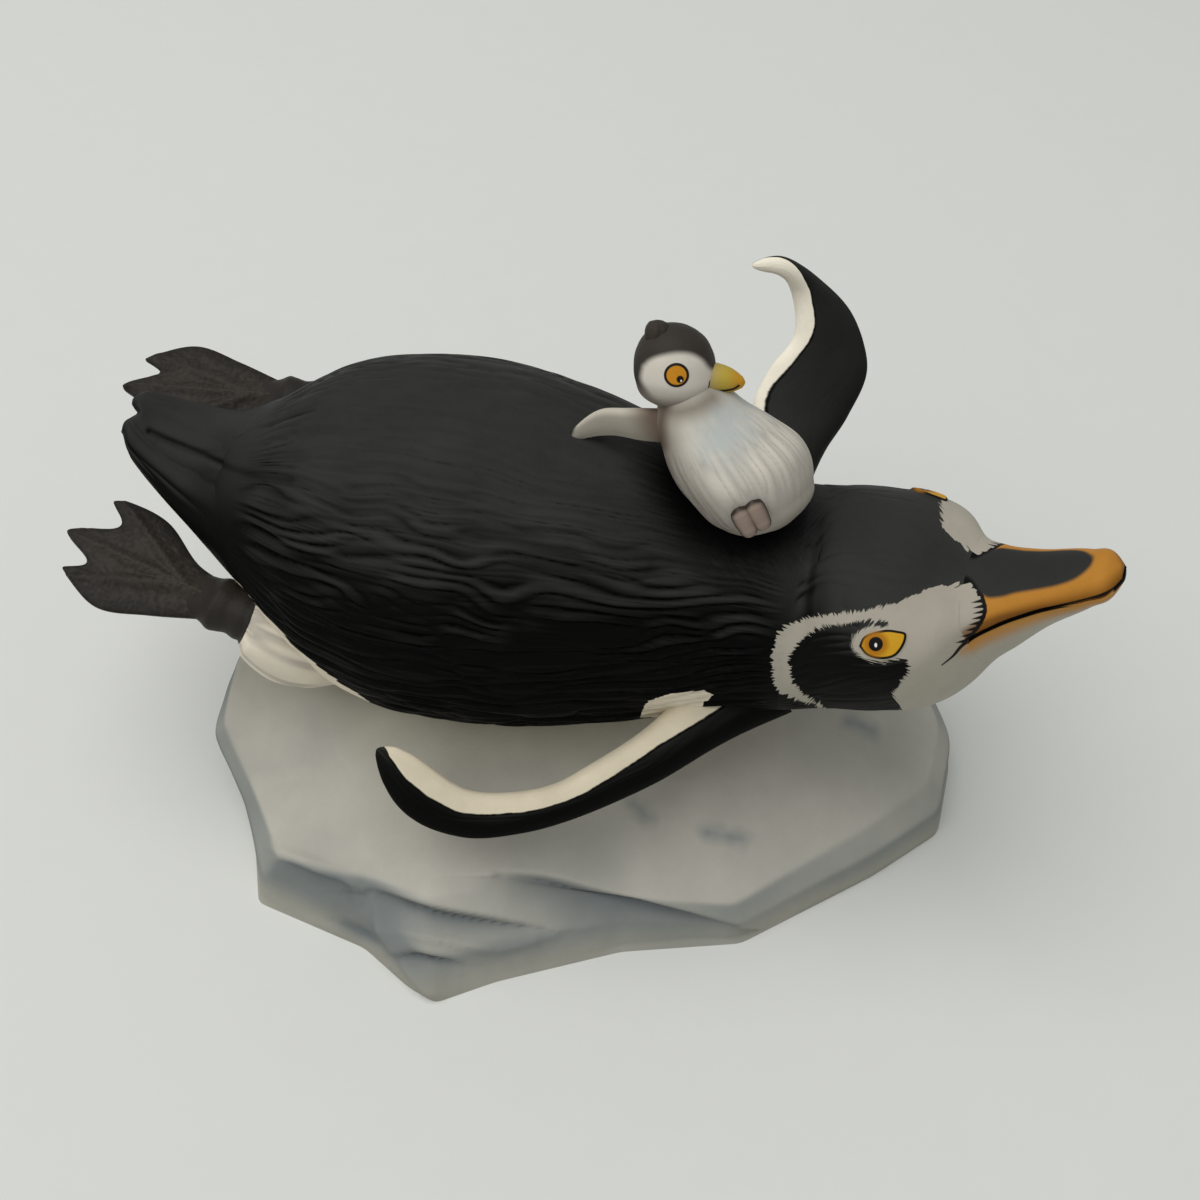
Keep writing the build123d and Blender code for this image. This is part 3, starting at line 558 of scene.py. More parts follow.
armpit_px = [(638, 722), (645, 706), (655, 697), (670, 692), (695, 690), (713, 695), (700, 706), (686, 714),
             (672, 726), (655, 742)]
tail_groove_px = [(150, 432), (195, 452), (243, 472), (290, 480)]
white_face_px = [(983, 598), (970, 584), (947, 585), (930, 588), (912, 596), (889, 605), (861, 611), (838, 613),
                 (815, 617), (795, 622), (782, 629), (775, 642), (772, 659), (773, 677), (778, 690), (789, 698),
                 (806, 703), (823, 709), (840, 740), (1000, 760), (1060, 700), (1050, 600)]
cheek_px = [(888, 622), (874, 621), (861, 621), (843, 624), (823, 627), (809, 634), (798, 644), (790, 657),
            (790, 671), (795, 685), (806, 697), (823, 708), (840, 740), (900, 745), (902, 708), (893, 697),
            (898, 685), (909, 668), (904, 659), (884, 662), (868, 660), (855, 652), (852, 642), (858, 632),
            (872, 626), (886, 626)]
hair_hub_px = np.array([850, 655])
# Edge of the white belly: distance along the torso in mm, angle from the back
belly_edge = [(-50, 1.5), (-38, 1.6), (-25, 1.8), (-10, 2.03), (20, 2.1), (45, 2.15), (64, 2.35)]
far_shoulder = np.array([0.465 * torso_length, 0.42 * torso_width, -0.2 * torso_depth])
hip_shares = (-0.2, -0.35)
# Each thigh by its side: how far out its hip is, reach of the white feathers round it
hip_sides = {-1: (0.325, 14.6 * mm), 1: (0.355, 16 * mm)}
thigh_length = 18 * mm
thigh_pitch = 28
collar_share = 0.4
chick_seat = np.array([0.432 * torso_length, 0.115 * torso_width, 0.62 * torso_depth])


def face_hair(pixels):
    """The way that the face's brush hairs run: out from a hub on the cheek."""
    hub = pixels - hair_hub_px
    bearing = np.arctan2(hub[..., 1], -hub[..., 0])
    radius = np.hypot(hub[..., 0], hub[..., 1])
    return np.stack([bearing * 34 + radius * 0.03, radius * 0.06, 0 * radius], -1)


def dust_and_sheen(points, relief):
    """How much lighter grey the black is painted: grey dust, and painted sheen where the surface looks up and on its
    raised strands.
    """
    return 2.5 * (facing(points)[..., 2] - 0.71) + 1.1 * relief


def hip_place(side):
    """Where a thigh leaves the torso: its X axis runs back and up along the thigh."""
    hip = place(hip_shares[0] * torso_length, side * hip_sides[side][0] * torso_width, hip_shares[1] * torso_depth)
    return torso_place @ hip @ turn("Z", 180) @ turn("Y", -thigh_pitch)


def thigh_feathers(points):
    """Distance in millimetres within the white feathers round each thigh's line, where it starts at the hip."""
    reach = []
    for side, (_, collar) in hip_sides.items():
        spot = moved(np.linalg.inv(hip_place(side)), points)
        spot[..., 0] -= np.clip(spot[..., 0], 0, collar_share * thigh_length)
        reach.append((collar - np.linalg.norm(spot, axis=-1)) / mm)
    return np.maximum(*reach)


def adult_torso():
    """The adult's rings from rump to neck, with wavy strands raised and creases sunk along the normals."""
    right = np.concatenate([np.linspace(0, 2.15, 300), np.linspace(2.15, np.pi, 22)[1:]])
    angle = np.concatenate([right, np.linspace(-np.pi, 0, 156)[1:-1]])
    along = np.linspace(adult_table[0, 0], neck_along, 196)
    points = adult_skin(along, angle)
    length = along[:, None] / mm
    arc = angle * torso_depth / mm
    bend = 9 * ease(38, 66, length) * ease(0.1, 1.2, angle)
    sway = 1.0 * noise(length / 19, arc / 9, 21) + 0.55 * noise(length / 8, arc / 5, 22)
    drift = 1.2 * noise(length / 15, arc / 8, 26) + 0.6 * noise(length / 7, arc / 4, 27)
    long_row = (arc + bend) / 3.1 + sway
    short_row = (arc + bend) / 2.2 + drift
    long_swell = ease(-0.5, 0.5, noise(length / 14, np.floor(long_row) * 3.7, 23))
    short_swell = ease(-0.5, 0.5, noise(length / 11, np.floor(short_row) * 3.7, 24))
    part = ease(-0.35, 0.35, noise(length / 11, arc / 6, 25))
    lock = part * (0.42 + 0.58 * long_swell) * np.abs(np.sin(np.pi * long_row)) ** 0.55
    lock = lock + (1 - part) * (0.42 + 0.58 * short_swell) * np.abs(np.sin(np.pi * short_row)) ** 0.55
    fine = np.abs(noise(length / 11, arc / 0.75 + 1.6 * sway, 28)) ** 0.7
    near = ease(0.0, 0.6, angle) * (1 - ease(1.95, 2.25, angle))
    belly = ease(2.0, 2.3, np.abs(angle))
    # Distance from the chick's seat: the black round it is painted deeper as the chick's painted shadow, and the
    # strands calm there.
    seat = np.linalg.norm(points - moved(torso_place, chick_seat), axis=-1) / mm
    calm = ease(12, 19, seat) * ease(-41, -33, length) * (1 - ease(56, 63, length))
    flank = 1.05 * lock - 0.55 + 0.3 * (fine - 0.5)
    relief = (near * flank + 0.42 * (1 - near) * (1 - belly) * (fine - 0.5)) * calm
    pixels = near_pixels(along, angle)
    distance, _, _ = nearest(pixels, tail_groove_px)
    relief = relief - 0.35 * np.exp(-((distance / 4) ** 2)) * (np.abs(angle) < 1.2)
    # Lighter grey where the surface faces up and on raised strands: dust and painted sheen.
    wear_and_sheen = dust_and_sheen(points, relief)
    open_side = ((camera_point - points) * facing(points)).sum(-1) > 0
    points = points + facing(points) * (relief * mm)[..., None]
    edge = np.interp(length, *np.array(belly_edge).T)
    white = (np.abs(angle) - edge) * torso_depth / mm
    near_patch = np.where((length > 20) & (angle > 0) & open_side, 3 * inside(pixels, armpit_px), -9)
    far_patch = 6.5 - np.linalg.norm(points - moved(torso_place, far_shoulder), axis=-1) / mm
    white = np.maximum(white, np.maximum(near_patch, far_patch))
    white = np.maximum(white, thigh_feathers(points))
    face = np.minimum(inside(pixels, white_face_px), -inside(pixels, cheek_px))
    band = np.where(length > 46, face, -9)
    strand = np.stack(np.broadcast_arrays(length / 9, arc * 1.1, 0 * arc), -1)
    strand = np.where(length[..., None] > 48, face_hair(pixels), strand)
    return points, {"white": white, "band": band, "strand": strand, "seat": 16 - seat, "wear_and_sheen": wear_and_sheen}


black = (0.0032, 0.0032, 0.003)
# Grey dust and painted sheen on the black; the deep black also paints the chick's shadow and the flippers' edge lines.
black_dust_and_sheen = (0.033, 0.034, 0.032)
black_deep = (0.003, 0.003, 0.003)
cream_white = (0.72, 0.65, 0.52)
face_white = (0.40, 0.37, 0.31)
# Coats: dust and painted sheen, the chick's painted shadow, the cream belly and the face's band.
torso_coats = [("wear_and_sheen", black_dust_and_sheen, 0.75, 0), ("seat", black_deep, 5, 5), ("white", cream_white, 0.12, 3.0),
               ("band", face_white, 0.10, 3.0)]
torso_paint = bisque("Adult plumage", black, torso_coats, 0.45, 0.5, 0.3, 0.03)
torso_points, torso_edges = adult_torso()
add_piece("adult_torso", "adult_plumage", torso_paint, (torso_points, torso_edges, "pole"))


# Adult's head
# A hollow bisque head and neck, lipped into the torso. The face is painted with fine brush hairs:
# a white band round a black cheek, an almond eye slightly raised, and strokes at the bill's base.
eye_px = [(859, 646), (865, 636), (884, 630), (898, 631), (906, 634), (904, 645), (895, 656), (881, 659), (867, 655)]
pupil_px = (876, 644)
glint_px = (876, 645)
bill_root_px = [(982, 596), (985, 611), (978, 627), (964, 644)]
gape_px = [(1130, 569), (1125, 579), (1102, 595), (1044, 610), (1010, 621), (985, 632), (964, 644), (953, 656), (942, 665)]
orange_px = [(983, 597), (985, 611), (978, 627), (964, 643), (985, 633), (1010, 621), (1044, 610), (1102, 595),
             (1140, 590), (1160, 540), (1100, 500), (1000, 500), (985, 545), (984, 575)]
lower_orange_px = [(966, 644), (985, 633), (1010, 621), (1044, 610), (1102, 595), (1140, 585), (1140, 600),
                   (1060, 625), (1024, 633), (988, 645), (962, 653)]
ridge_px = [(925, 574), (947, 577), (969, 577), (984, 596), (1000, 597), (1016, 593), (1040, 589), (1059, 585), (1075, 579), (1087, 570), (1093, 561),
            (1094, 545), (1080, 500), (925, 500)]
rim_width = 2.7
far_brow_px = 941
tick_count = 8
tick_reach = np.array([-13, 2.5])


def strokes(pixels):
    """Distance in millimetres within the thin black lines: the gape, the bill's root and the ticks behind it."""
    distance, share, _ = nearest(pixels, gape_px)
    line = 1.7 - 1.0 * ease(0.75, 1, share) - distance
    distance, _, _ = nearest(pixels, bill_root_px)
    line = np.maximum(line, 1.9 - distance)
    for start in smooth(np.arange(4), np.array(bill_root_px, float), np.linspace(0.3, 2.8, tick_count)):
        distance, share, _ = nearest(pixels, [start, start + tick_reach / 2, start + tick_reach])
        line = np.maximum(line, 2.2 * (1 - share) - distance)
    return line / pixels_per_mm


def face_paint(along, angle):
    """Edges of all the paint on the face, in millimetres, and the way that its brush hairs run."""
    pixels = near_pixels(along, angle)
    cheek = inside(pixels, cheek_px)
    eye = inside(pixels, eye_px)
    pupil = 7 - np.hypot(*np.moveaxis(pixels - np.array(pupil_px), -1, 0))
    glint = 1 - np.hypot(*np.moveaxis((pixels - np.array(glint_px)) / np.array([1.4, 2.3]), -1, 0))
    return {
        "white": np.minimum(inside(pixels, white_face_px), -cheek),
        "orange": inside(pixels, orange_px),
        "lower_orange": inside(pixels, lower_orange_px),
        "ridge": inside(pixels, ridge_px),
        "stroke": strokes(pixels),
        "eye": eye,
        "iris": eye - rim_width / pixels_per_mm,
        "halo": (pupil + 5) / pixels_per_mm,
        "pupil": pupil / pixels_per_mm,
        "glint": glint * 2 / pixels_per_mm,
        "wear_and_sheen": eye * 0 - 9,
        "seat": eye * 0 - 9,
        "shade": eye * 0 - 9,
        "strand": face_hair(pixels),
    }


def adult_head():
    """The adult's rings from neck to bill, with the eyes raised and faint strands along the crown."""
    angle = both_sides(np.linspace(0, np.pi, 298))
    along = np.linspace(neck_along, bill_along, 158)
    points = adult_skin(along, angle)
    paint = face_paint(along, angle)
    length = along[:, None] / mm
    arc = angle * head_rise / mm
    raised = 0.45 * ease(-0.3, 0.5, paint["eye"])
    nape = 1 - ease(neck_along / mm, neck_along / mm + 16, length)
    crown = (0.2 + 0.34 * nape) * (strands(length / 11, arc / 1.5, 51) - 0.6) * ease(0.1, 0.8, -paint["white"])
    crown = crown * (1 - ease(-0.5, 0.5, paint["eye"])) * ease(0, 5, length - neck_along / mm)
    crown = crown * ease(0, 6, bill_along / mm - length)
    points = points + facing(points) * ((raised + crown) * mm)[..., None]
    # The crown's black is painted lighter where it faces up and on raised strands, as dust and painted sheen, and
    # deeper near the chick, as its painted shadow.
    paint["wear_and_sheen"] = dust_and_sheen(points, crown)
    paint["seat"] = 16 - np.linalg.norm(points - moved(torso_place, chick_seat), axis=-1) / mm
    column = photo_pixels(points)[..., 0]
    seen = ((camera_point - points) * facing(points)).sum(-1) > 0
    brow = np.minimum(paint["white"], (column - far_brow_px) / pixels_per_mm)
    paint["white"] = np.where(seen & (angle < 0), brow, paint["white"])
    return points, paint


bill_orange = (0.50, 0.22, 0.035)
chin_orange = (0.46, 0.23, 0.06)
orange_dark = (0.20, 0.075, 0.01)
iris_orange = (0.62, 0.33, 0.02)
iris_dark = (0.42, 0.17, 0.01)
ink = (0.008, 0.007, 0.006)
ridge_grey = (0.0305, 0.031, 0.0295)
glint_white = (0.85, 0.83, 0.78)
# Coats: dust and painted sheen, the chick's painted shadow, then the face's paint.
face_coats = [
    ("wear_and_sheen", black_dust_and_sheen, 0.75, 0),
    ("seat", black_deep, 5, 5),
    ("white", face_white, 0.10, 3.0),
    ("lower_orange", chin_orange, 1.6, 0),
    ("orange", bill_orange, 0.15, 0),
    ("shade", orange_dark, 2.4, 0),
    ("ridge", ridge_grey, 0.5, 0),
    ("stroke", ink, 0.09, 0),
    ("eye", ink, 0.07, 0),
    ("iris", iris_orange, 0.09, 0),
    ("halo", iris_dark, 0.7, 0),
    ("pupil", ink, 0.08, 0),
    ("glint", glint_white, 0.08, 0),
]
face_finish = bisque("Adult face", black, face_coats, 0.48, 0.35, 0.25, 0.06)
head_points, head_edges = adult_head()
add_piece("adult_head", "adult_plumage", face_finish, (head_points, head_edges, "pole"))

# Adult's bill
# Two solid bisque halves that meet along the gape, cemented to the head's front. They are orange,
# airbrushed charcoal along the upper ridge, and the lower half fades to white at the chin.
gape_root_share = -0.17
gape_run_share = 0.65


def bill_half(upper):
    """The adult's rings over the bill, above or below the gape, closed by a flat run across the gape."""
    along = np.linspace(bill_along, adult_table[-1, 0], 90)
    row = smooth(adult_table[:, 0], adult_table[:, 1:], along)
    share = (along - bill_along) / bill_length
    depth = gape_root_share * np.clip(1 - share / gape_run_share, 0, 1) * adult_table[-6, 7]
    gape = np.arccos(np.clip(depth / row[:, 6], -0.9, -0.02))[:, None]
    if upper:
        angle = gape * np.linspace(1, -1, 170)
    else:
        angle = gape + (2 * np.pi - 2 * gape) * np.linspace(0, 1, 120)
    signed = np.where(angle > np.pi, angle - 2 * np.pi, angle)
    points = adult_skin(along, signed)
    gap = np.abs(np.abs(signed) - gape) * row[:, 4:5]
    points = points - facing(points) * (0.3 * mm * np.exp(-((gap / (0.5 * mm)) ** 2)))[..., None]
    across = np.linspace(0, 1, 14)[1:-1, None]
    chord = points[:, -1:] * (1 - across) + points[:, :1] * across
    paint = face_paint(along, signed)
    paint["lower_orange"] = -9 + 0 * gap if upper else 2.2 - gap / mm
    paint["shade"] = 2.2 - gap / mm if upper else -9 + 0 * gap
    paint = {key: np.concatenate([value, np.repeat(value[:, -1:], 12, axis=1)], axis=1) for key, value in paint.items()}
    if not upper:
        paint["orange"] = paint["orange"] * 0 - 9
        paint["ridge"] = paint["orange"]
        paint["white"] = paint["orange"] + 18
    return np.concatenate([points, chord], axis=1), paint


upper_points, upper_edges = bill_half(True)
lower_points, lower_edges = bill_half(False)
add_piece("adult_upper_bill", "adult_bill", face_finish, (upper_points, upper_edges, "pole"))
add_piece("adult_lower_bill", "adult_bill", face_finish, (lower_points, lower_edges, "pole"))

# Adult's flippers
# Thin blades cast solid and pegged into the shoulders. The near one sweeps back and the far one
# is raised. They are charcoal with a cream-white strip along the trailing edge.
flipper_length = 84 * mm
flipper_thickness = 8 * mm
shoulder_shares = np.array([0.45 * 113, 0.31 * 71, -0.26 * 31]) * mm
right_thickness_shares = [1.0, 0.95, 0.82, 0.68, 0.56, 0.36, 0.2]
left_thickness_shares = [1.0, 0.95, 0.82, 0.68, 0.6, 0.56, 0.46, 0.3]
right_leading_shares = [(0.174, -0.049, -0.097), (0.038, 0.067, -0.055), (-0.111, 0.199, -0.058),
                        (-0.367, 0.349, -0.084), (-0.495, 0.38, -0.087), (-0.643, 0.348, -0.023),
                        (-0.705, 0.276, 0.035)]
right_trailing_shares = [(-0.01, -0.10, 0.06), (-0.096, 0.064, 0.036), (-0.203, 0.178, 0.02),
                         (-0.357, 0.271, -0.019), (-0.481, 0.295, -0.016), (-0.617, 0.26, 0.061),
                         (-0.683, 0.245, 0.064)]
left_leading_shares = [(0.09, -0.10, -0.06), (0.146, 0.157, -0.019), (0.191, 0.256, 0.011), (0.217, 0.364, 0.072),
                       (0.166, 0.447, 0.148), (0.082, 0.487, 0.213), (-0.016, 0.496, 0.275), (-0.083, 0.475, 0.273)]
left_trailing_shares = [(-0.01, -0.10, 0.06), (0.002, 0.114, 0.053), (-0.032, 0.212, 0.065), (-0.007, 0.305, 0.095),
                        (0.036, 0.38, 0.134), (0.015, 0.457, 0.191), (-0.021, 0.462, 0.247), (-0.083, 0.46, 0.255)]
# White strip: share of the length, how far it reaches over the chord from the trailing edge
right_strip = [(0, 0.0), (0.15, -0.3), (0.25, -0.5), (0.35, -0.48), (0.5, -0.33), (0.65, -0.25), (0.8, -0.18),
               (0.9, -0.2), (0.96, -0.5), (1, -1.2)]
left_strip = [(0, -0.75), (0.5, -0.76), (0.6, -0.57), (0.68, -0.4), (0.76, -0.15), (0.84, 0.35), (0.9, 0.75), (1, 1.2)]


def blade(leading, trailing, thickness, columns=150, rows=230):
    """Ovals spread between two edges; gives the rings, the share along, the chord share and the face's side."""
    middle = (leading + trailing) / 2
    steps = np.concatenate([[0], np.cumsum(np.linalg.norm(np.diff(middle, axis=0), axis=1))])
    wanted = np.linspace(0, steps[-1], rows)
    front = smooth(steps, leading, wanted)
    back = smooth(steps, trailing, wanted)
    depth = smooth(steps, np.asarray(thickness), wanted)
    share = (wanted / steps[-1])[:, None]
    end = np.sqrt(np.clip(1 - np.clip((share - 0.95) / 0.05, 0, 1) ** 2 * 0.99, 0, 1))
    centre = (front + back) / 2
    chord = front - back
    upright = np.cross(np.gradient(centre, axis=0), chord)
    upright /= np.linalg.norm(upright, axis=1, keepdims=True)
    angle = np.linspace(0, 2 * np.pi, columns, endpoint=False)
    across = np.cos(angle) * end
    over = np.sign(np.sin(angle)) * np.abs(np.sin(angle)) ** 0.85 * end
    points = centre[:, None] + chord[:, None] / 2 * across[..., None]
    points = points + upright[:, None] * (depth[:, None] / 2 * over)[..., None]
    return points, share, np.cos(angle) * np.ones_like(share), np.sin(angle) * np.ones_like(share)


def flipper(name, side, leading_shares, trailing_shares, thickness_shares, strip, material):
    """A blade from the shoulder; the strip is white on its seen face, and most of its hidden face is white."""
    shoulder = shoulder_shares * np.array([1, side, 1])
    edges = []
    for shares in (leading_shares, trailing_shares):
        edges.append(moved(torso_place, shoulder + np.array(shares) * np.array([1, side, 1]) * flipper_length))
    sizes = np.array(thickness_shares) * flipper_thickness
    points, share, chord, over = blade(*edges, sizes)
    normal = facing(points)
    toward = ((camera_point - points) * normal).sum(-1)
    seen = over * np.sign((over * toward).sum())
    half_width = np.linalg.norm(edges[0] - edges[1], axis=1).mean() / 2 / mm
    reach = np.interp(share, *np.array(strip).T)
    hidden = 0.62 + 0 * share
    edge = np.where(seen > 0, reach, hidden) - chord
    ripple = 0.5 * noise(share * 26, chord * 0 + 3, 61 + int(side))
    fine = 0.06 * (strands(share * 9, chord * 7, 71) - 0.6)
    points = points + normal * (fine * mm)[..., None]
    white = edge * half_width + 0.25 * ripple
    strand = np.stack(np.broadcast_arrays(share * 60, chord * 2, over), -1)
    shoulder_white = inside(photo_pixels(points), armpit_px) if side < 0 else white * 0 - 9
    white = np.maximum(white, np.where((seen > 0) & (share < 0.35), shoulder_white, -9))
    # The black is painted lighter grey where it faces up and on raised strands: dust and painted sheen.
    paint = {"white": white, "strand": strand, "line": 0.22 - np.abs(white), "wear_and_sheen": dust_and_sheen(points, fine)}
    add_piece(name, "adult_plumage", material, (points, paint, "seam"))


flipper_cream = (0.73, 0.65, 0.50)
# The far flipper's paint is a lighter copy of the near one's: painted light on the raised far flipper.
far_lit_cream = (0.95, 0.89, 0.75)
far_lit_black = (0.014, 0.014, 0.013)
flipper_coats = [("wear_and_sheen", black_dust_and_sheen, 0.75, 0), ("white", flipper_cream, 0.12, 0.35), ("line", black_deep, 0.15, 0.3)]
near_paint = bisque("Flipper plumage", black, flipper_coats, 0.5, 0.4, 0.25, 0.03)
far_lit_coats = [("wear_and_sheen", black_dust_and_sheen, 1.1, 0), ("white", far_lit_cream, 0.12, 0.35), ("line", black_deep, 0.15, 0.3)]
far_lit_paint = bisque("Far flipper plumage", far_lit_black, far_lit_coats, 0.5, 0.4, 0.25, 0.03)
flipper("adult_right_flipper", -1, right_leading_shares, right_trailing_shares, right_thickness_shares, right_strip,
        near_paint)
flipper("adult_left_flipper", 1, left_leading_shares, left_trailing_shares, left_thickness_shares, left_strip, far_lit_paint)

# Adult's tail
# A blunt wedge with a notched end, cast solid and pegged into the rump. It is charcoal, dusted
# grey and given painted sheen on top, with strands and one long groove running out from the back.
tail_size = np.array([26, 32, 22]) * mm
tail_root = np.array([-0.37, 0, 0]) * torso_length + np.array([0, 0, 0.15]) * torso_depth
# Tail stations: along from the rump, sideways, lift, half width, rise, drop
tail_station_shares = [
    (0.0, 0.0, 0.0, 0.535, 0.62, 0.66),
    (0.153, 0.02, 0.03, 0.485, 0.50, 0.53),
    (0.36, 0.07, 0.08, 0.415, 0.37, 0.35),
    (0.62, 0.13, 0.18, 0.33, 0.24, 0.21),
    (0.85, 0.19, 0.29, 0.25, 0.165, 0.135),
    (1.0, 0.235, 0.37, 0.19, 0.115, 0.09),
]
tail_notch = 2.0 * mm


def adult_tail():
    """Flat ovals that narrow, rise and drift sideways, grown out of the torso's own rings, with a notched end."""
    table = np.array(tail_station_shares)
    share = np.linspace(0, 1, 130)
    row = smooth(table[:, 0], table[:, 1:], share)[:, None]
    angle = np.linspace(0, 2 * np.pi, 220, endpoint=False)
    rim = np.sqrt(1 - 0.9 * ease(0.9, 1, share)[:, None] ** 2)
    across = row[..., 2] * tail_size[1] * np.cos(angle) * (1 - 0.3 * ease(0.86, 1, share)[:, None] ** 2)
    up = np.where(np.sin(angle) > 0, row[..., 3], row[..., 4]) * tail_size[2] * np.sin(angle) * rim
    notch = tail_notch * np.exp(-((np.cos(angle) / 0.3) ** 2)) * ease(0.75, 1, share)[:, None]
    along = -share[:, None] * tail_size[0] + notch
    points = np.stack([along, row[..., 0] * tail_size[1] + across, row[..., 1] * tail_size[0] + up], -1)
    rump = adult_skin((-0.325 - 0.11 * np.clip(share / 0.5, 0, 1)) * torso_length, angle - np.pi / 2)
    rump = rump + facing(rump) * ((0.55 * ease(0, 0.15, share) - 0.3) * mm)[:, None, None]
    grown = ease(0, 0.5, share)[:, None, None]
    points = rump * (1 - grown) + moved(torso_place, tail_root + points) * grown
    normal = facing(points)
    relief = 0.26 * (strands(share[:, None] * 2.2, angle * 4.5, 81) - 0.6) * ease(0.1, 0.3, share)[:, None]
    distance, _, _ = nearest(photo_pixels(points), tail_groove_px)
    top = np.sin(angle) > 0
    relief = relief - 0.4 * np.exp(-((distance / 3.5) ** 2)) * top
    points = points + normal * (relief * mm)[..., None]
    strand = np.stack(np.broadcast_arrays(share[:, None] * 6, np.cos(angle) * 9, np.sin(angle)), -1)
    under = -12 * np.sin(angle) - 40 * ease(0.3, 0.7, share)[:, None]
    bare = -9 + 0 * across
    # The black is painted lighter grey where it faces up and on raised strands: dust and painted sheen.
    return points, {"wear_and_sheen": dust_and_sheen(points, relief), "strand": strand, "band": bare, "seat": bare,
                    "white": np.maximum(under, thigh_feathers(points))}


tail_points, tail_edges = adult_tail()
add_piece("adult_tail", "adult_plumage", torso_paint, (tail_points, tail_edges, "seam"))

# Adult's thighs and feet
# The thighs are short cream-white stubs pegged through the torso's wall. Each foot is cast as one
# piece: a banded shank, a web with a scalloped end and three toes, with pebbled dark-brown skin.
thigh_diameter = 24 * mm
thigh_station_shares = [(-0.2, 0.24), (0.15, 0.37), (0.5, 0.41), (0.8, 0.355), (1.0, 0.28)]
foot_length = 37.5 * mm
shank_diameter = 10.6 * mm
web_thickness = 2.4 * mm
toe_radius = 2.2 * mm
# Each leg: side, foot splay and foot pitch
leg_sides = {"right": (-1, 13, 8), "left": (1, 7, 6)}
shank_station_shares = [(0.0, 0.5, 0.5), (0.1, 0.44, 0.42), (0.2, 0.44, 0.33), (0.32, 0.4, 0.14)]
# Web edges: share from its root to the toes, sideways
outer_edge_shares = [(0, 0.11), (0.35, 0.215), (0.69, 0.295), (1, 0.235)]
inner_edge_shares = [(0, -0.11), (0.22, -0.135), (0.6, -0.275), (1, -0.315)]
web_root_share = 0.2
toe_root_share = 0.36
toe_tip_shares = [(1.0, 0.24), (1.06, 0.0), (0.95, -0.315)]
notch_depth_shares = (0.15, 0.17)


def thigh(line):
    """Round rings along the thigh's line with shallow grooves running down it."""
    table = np.array(thigh_station_shares)
    share = np.linspace(table[0, 0], 1, 70)
    radius = smooth(table[:, 0], table[:, 1], share)[:, None] * thigh_diameter
    angle = np.linspace(0, 2 * np.pi, 180, endpoint=False)
    groove = 0.55 * mm * (strands(share[:, None] * 1.6, angle * 5.5, 91) - 0.6) * ease(0, 0.3, share)[:, None]
    end = np.sqrt(1 - 0.35 * ease(0.9, 1, share)[:, None] ** 2)
    size = (radius + groove) * end
    points = np.stack(np.broadcast_arrays(share[:, None] * thigh_length, size * np.cos(angle), size * np.sin(angle)), -1)
    return moved(line, points), {"hollow": -groove / mm * 3 - 0.1, "strand": points * 0}


def shank(ankle, heading):
    """Banded ovals from the ankle to the web's root."""
    table = np.array(shank_station_shares)
    share = np.linspace(0, table[-1, 0], 60)
    half, height = smooth(table[:, 0], table[:, 1:], share).T * shank_diameter
    angle = np.linspace(0, 2 * np.pi, 90, endpoint=False)
    knob = 0.8 * mm * np.exp(-(((share - 0.16) / 0.04) ** 2))
    band = 0.12 * mm * np.sin(share * 110) * (1 - ease(0.1, 0.16, share))
    ring = np.stack(np.broadcast_arrays(0 * angle, (half + knob + band)[:, None] * np.cos(angle),
                                        (height + knob + band)[:, None] * np.sin(angle)), -1)
    start = moved(ankle, ring)
    onward = moved(heading, ring + np.array([1, 0, 0]) * (share * foot_length)[:, None, None])
    blend = ease(0, 0.14, share)[:, None, None]
    return start * (1 - blend) + onward * blend


def web(out, heading):
    """A thin oval sheet between two edges, ending in scallops, thickened along three toes."""
    share = np.linspace(0, 1, 150)[:, None]
    angle = np.linspace(0, 2 * np.pi, 260, endpoint=False)
    across = np.cos(angle)
    tips = np.array(toe_tip_shares)
    outer = smooth(*np.array(outer_edge_shares).T, share[:, 0])[:, None]
    inner = smooth(*np.array(inner_edge_shares).T, share[:, 0])[:, None]
    sideways = (outer + inner) / 2 + (outer - inner) / 2 * across * (1 - 0.1 * share**6)
    middle = (0 - tips[2, 1]) / (tips[0, 1] - tips[2, 1]) * 2 - 1
    reach = np.interp(across, [-1, middle, 1], tips[::-1, 0])
    outer_span = np.clip((across - middle) / (1 - middle), 0, 1)
    inner_span = np.clip((middle - across) / (1 + middle), 0, 1)
    scallop = notch_depth_shares[0] * np.sin(np.pi * outer_span) ** 2
    scallop = scallop + notch_depth_shares[1] * np.sin(np.pi * inner_span) ** 2
    scallop = scallop + 0.06 * ease(0.8, 1, np.abs(across)) ** 2
    along = web_root_share + (reach - scallop - web_root_share) * share
    toes = np.zeros(along.shape)
    for tip_along, tip_side in tips:
        part = np.clip((along - toe_root_share) / (tip_along - toe_root_share), 0, 1)
        offset = np.abs(sideways - tip_side * part) * foot_length
        radius = toe_radius * (1 - 0.55 * part)
        toes = np.maximum(toes, radius * np.exp(-((offset / radius) ** 2)))
    thick = np.sqrt((web_thickness / 2) ** 2 + toes**2)
    thick = thick * np.sqrt(1 - 0.92 * share**16)
    rim = np.sign(np.sin(angle)) * np.abs(np.sin(angle)) ** 0.6
    pebble = 0.14 * mm * np.abs(noise(along * 38, sideways * 38, 95)) + 0.06 * mm * noise(along * 80, sideways * 80, 96)
    height = (thick + pebble * np.abs(rim)) * rim
    points = np.stack([along * foot_length, out * sideways * foot_length, height], -1)
    return moved(heading, points), pebble, 0.3 - 0.5 * np.maximum(across**2, share**6)


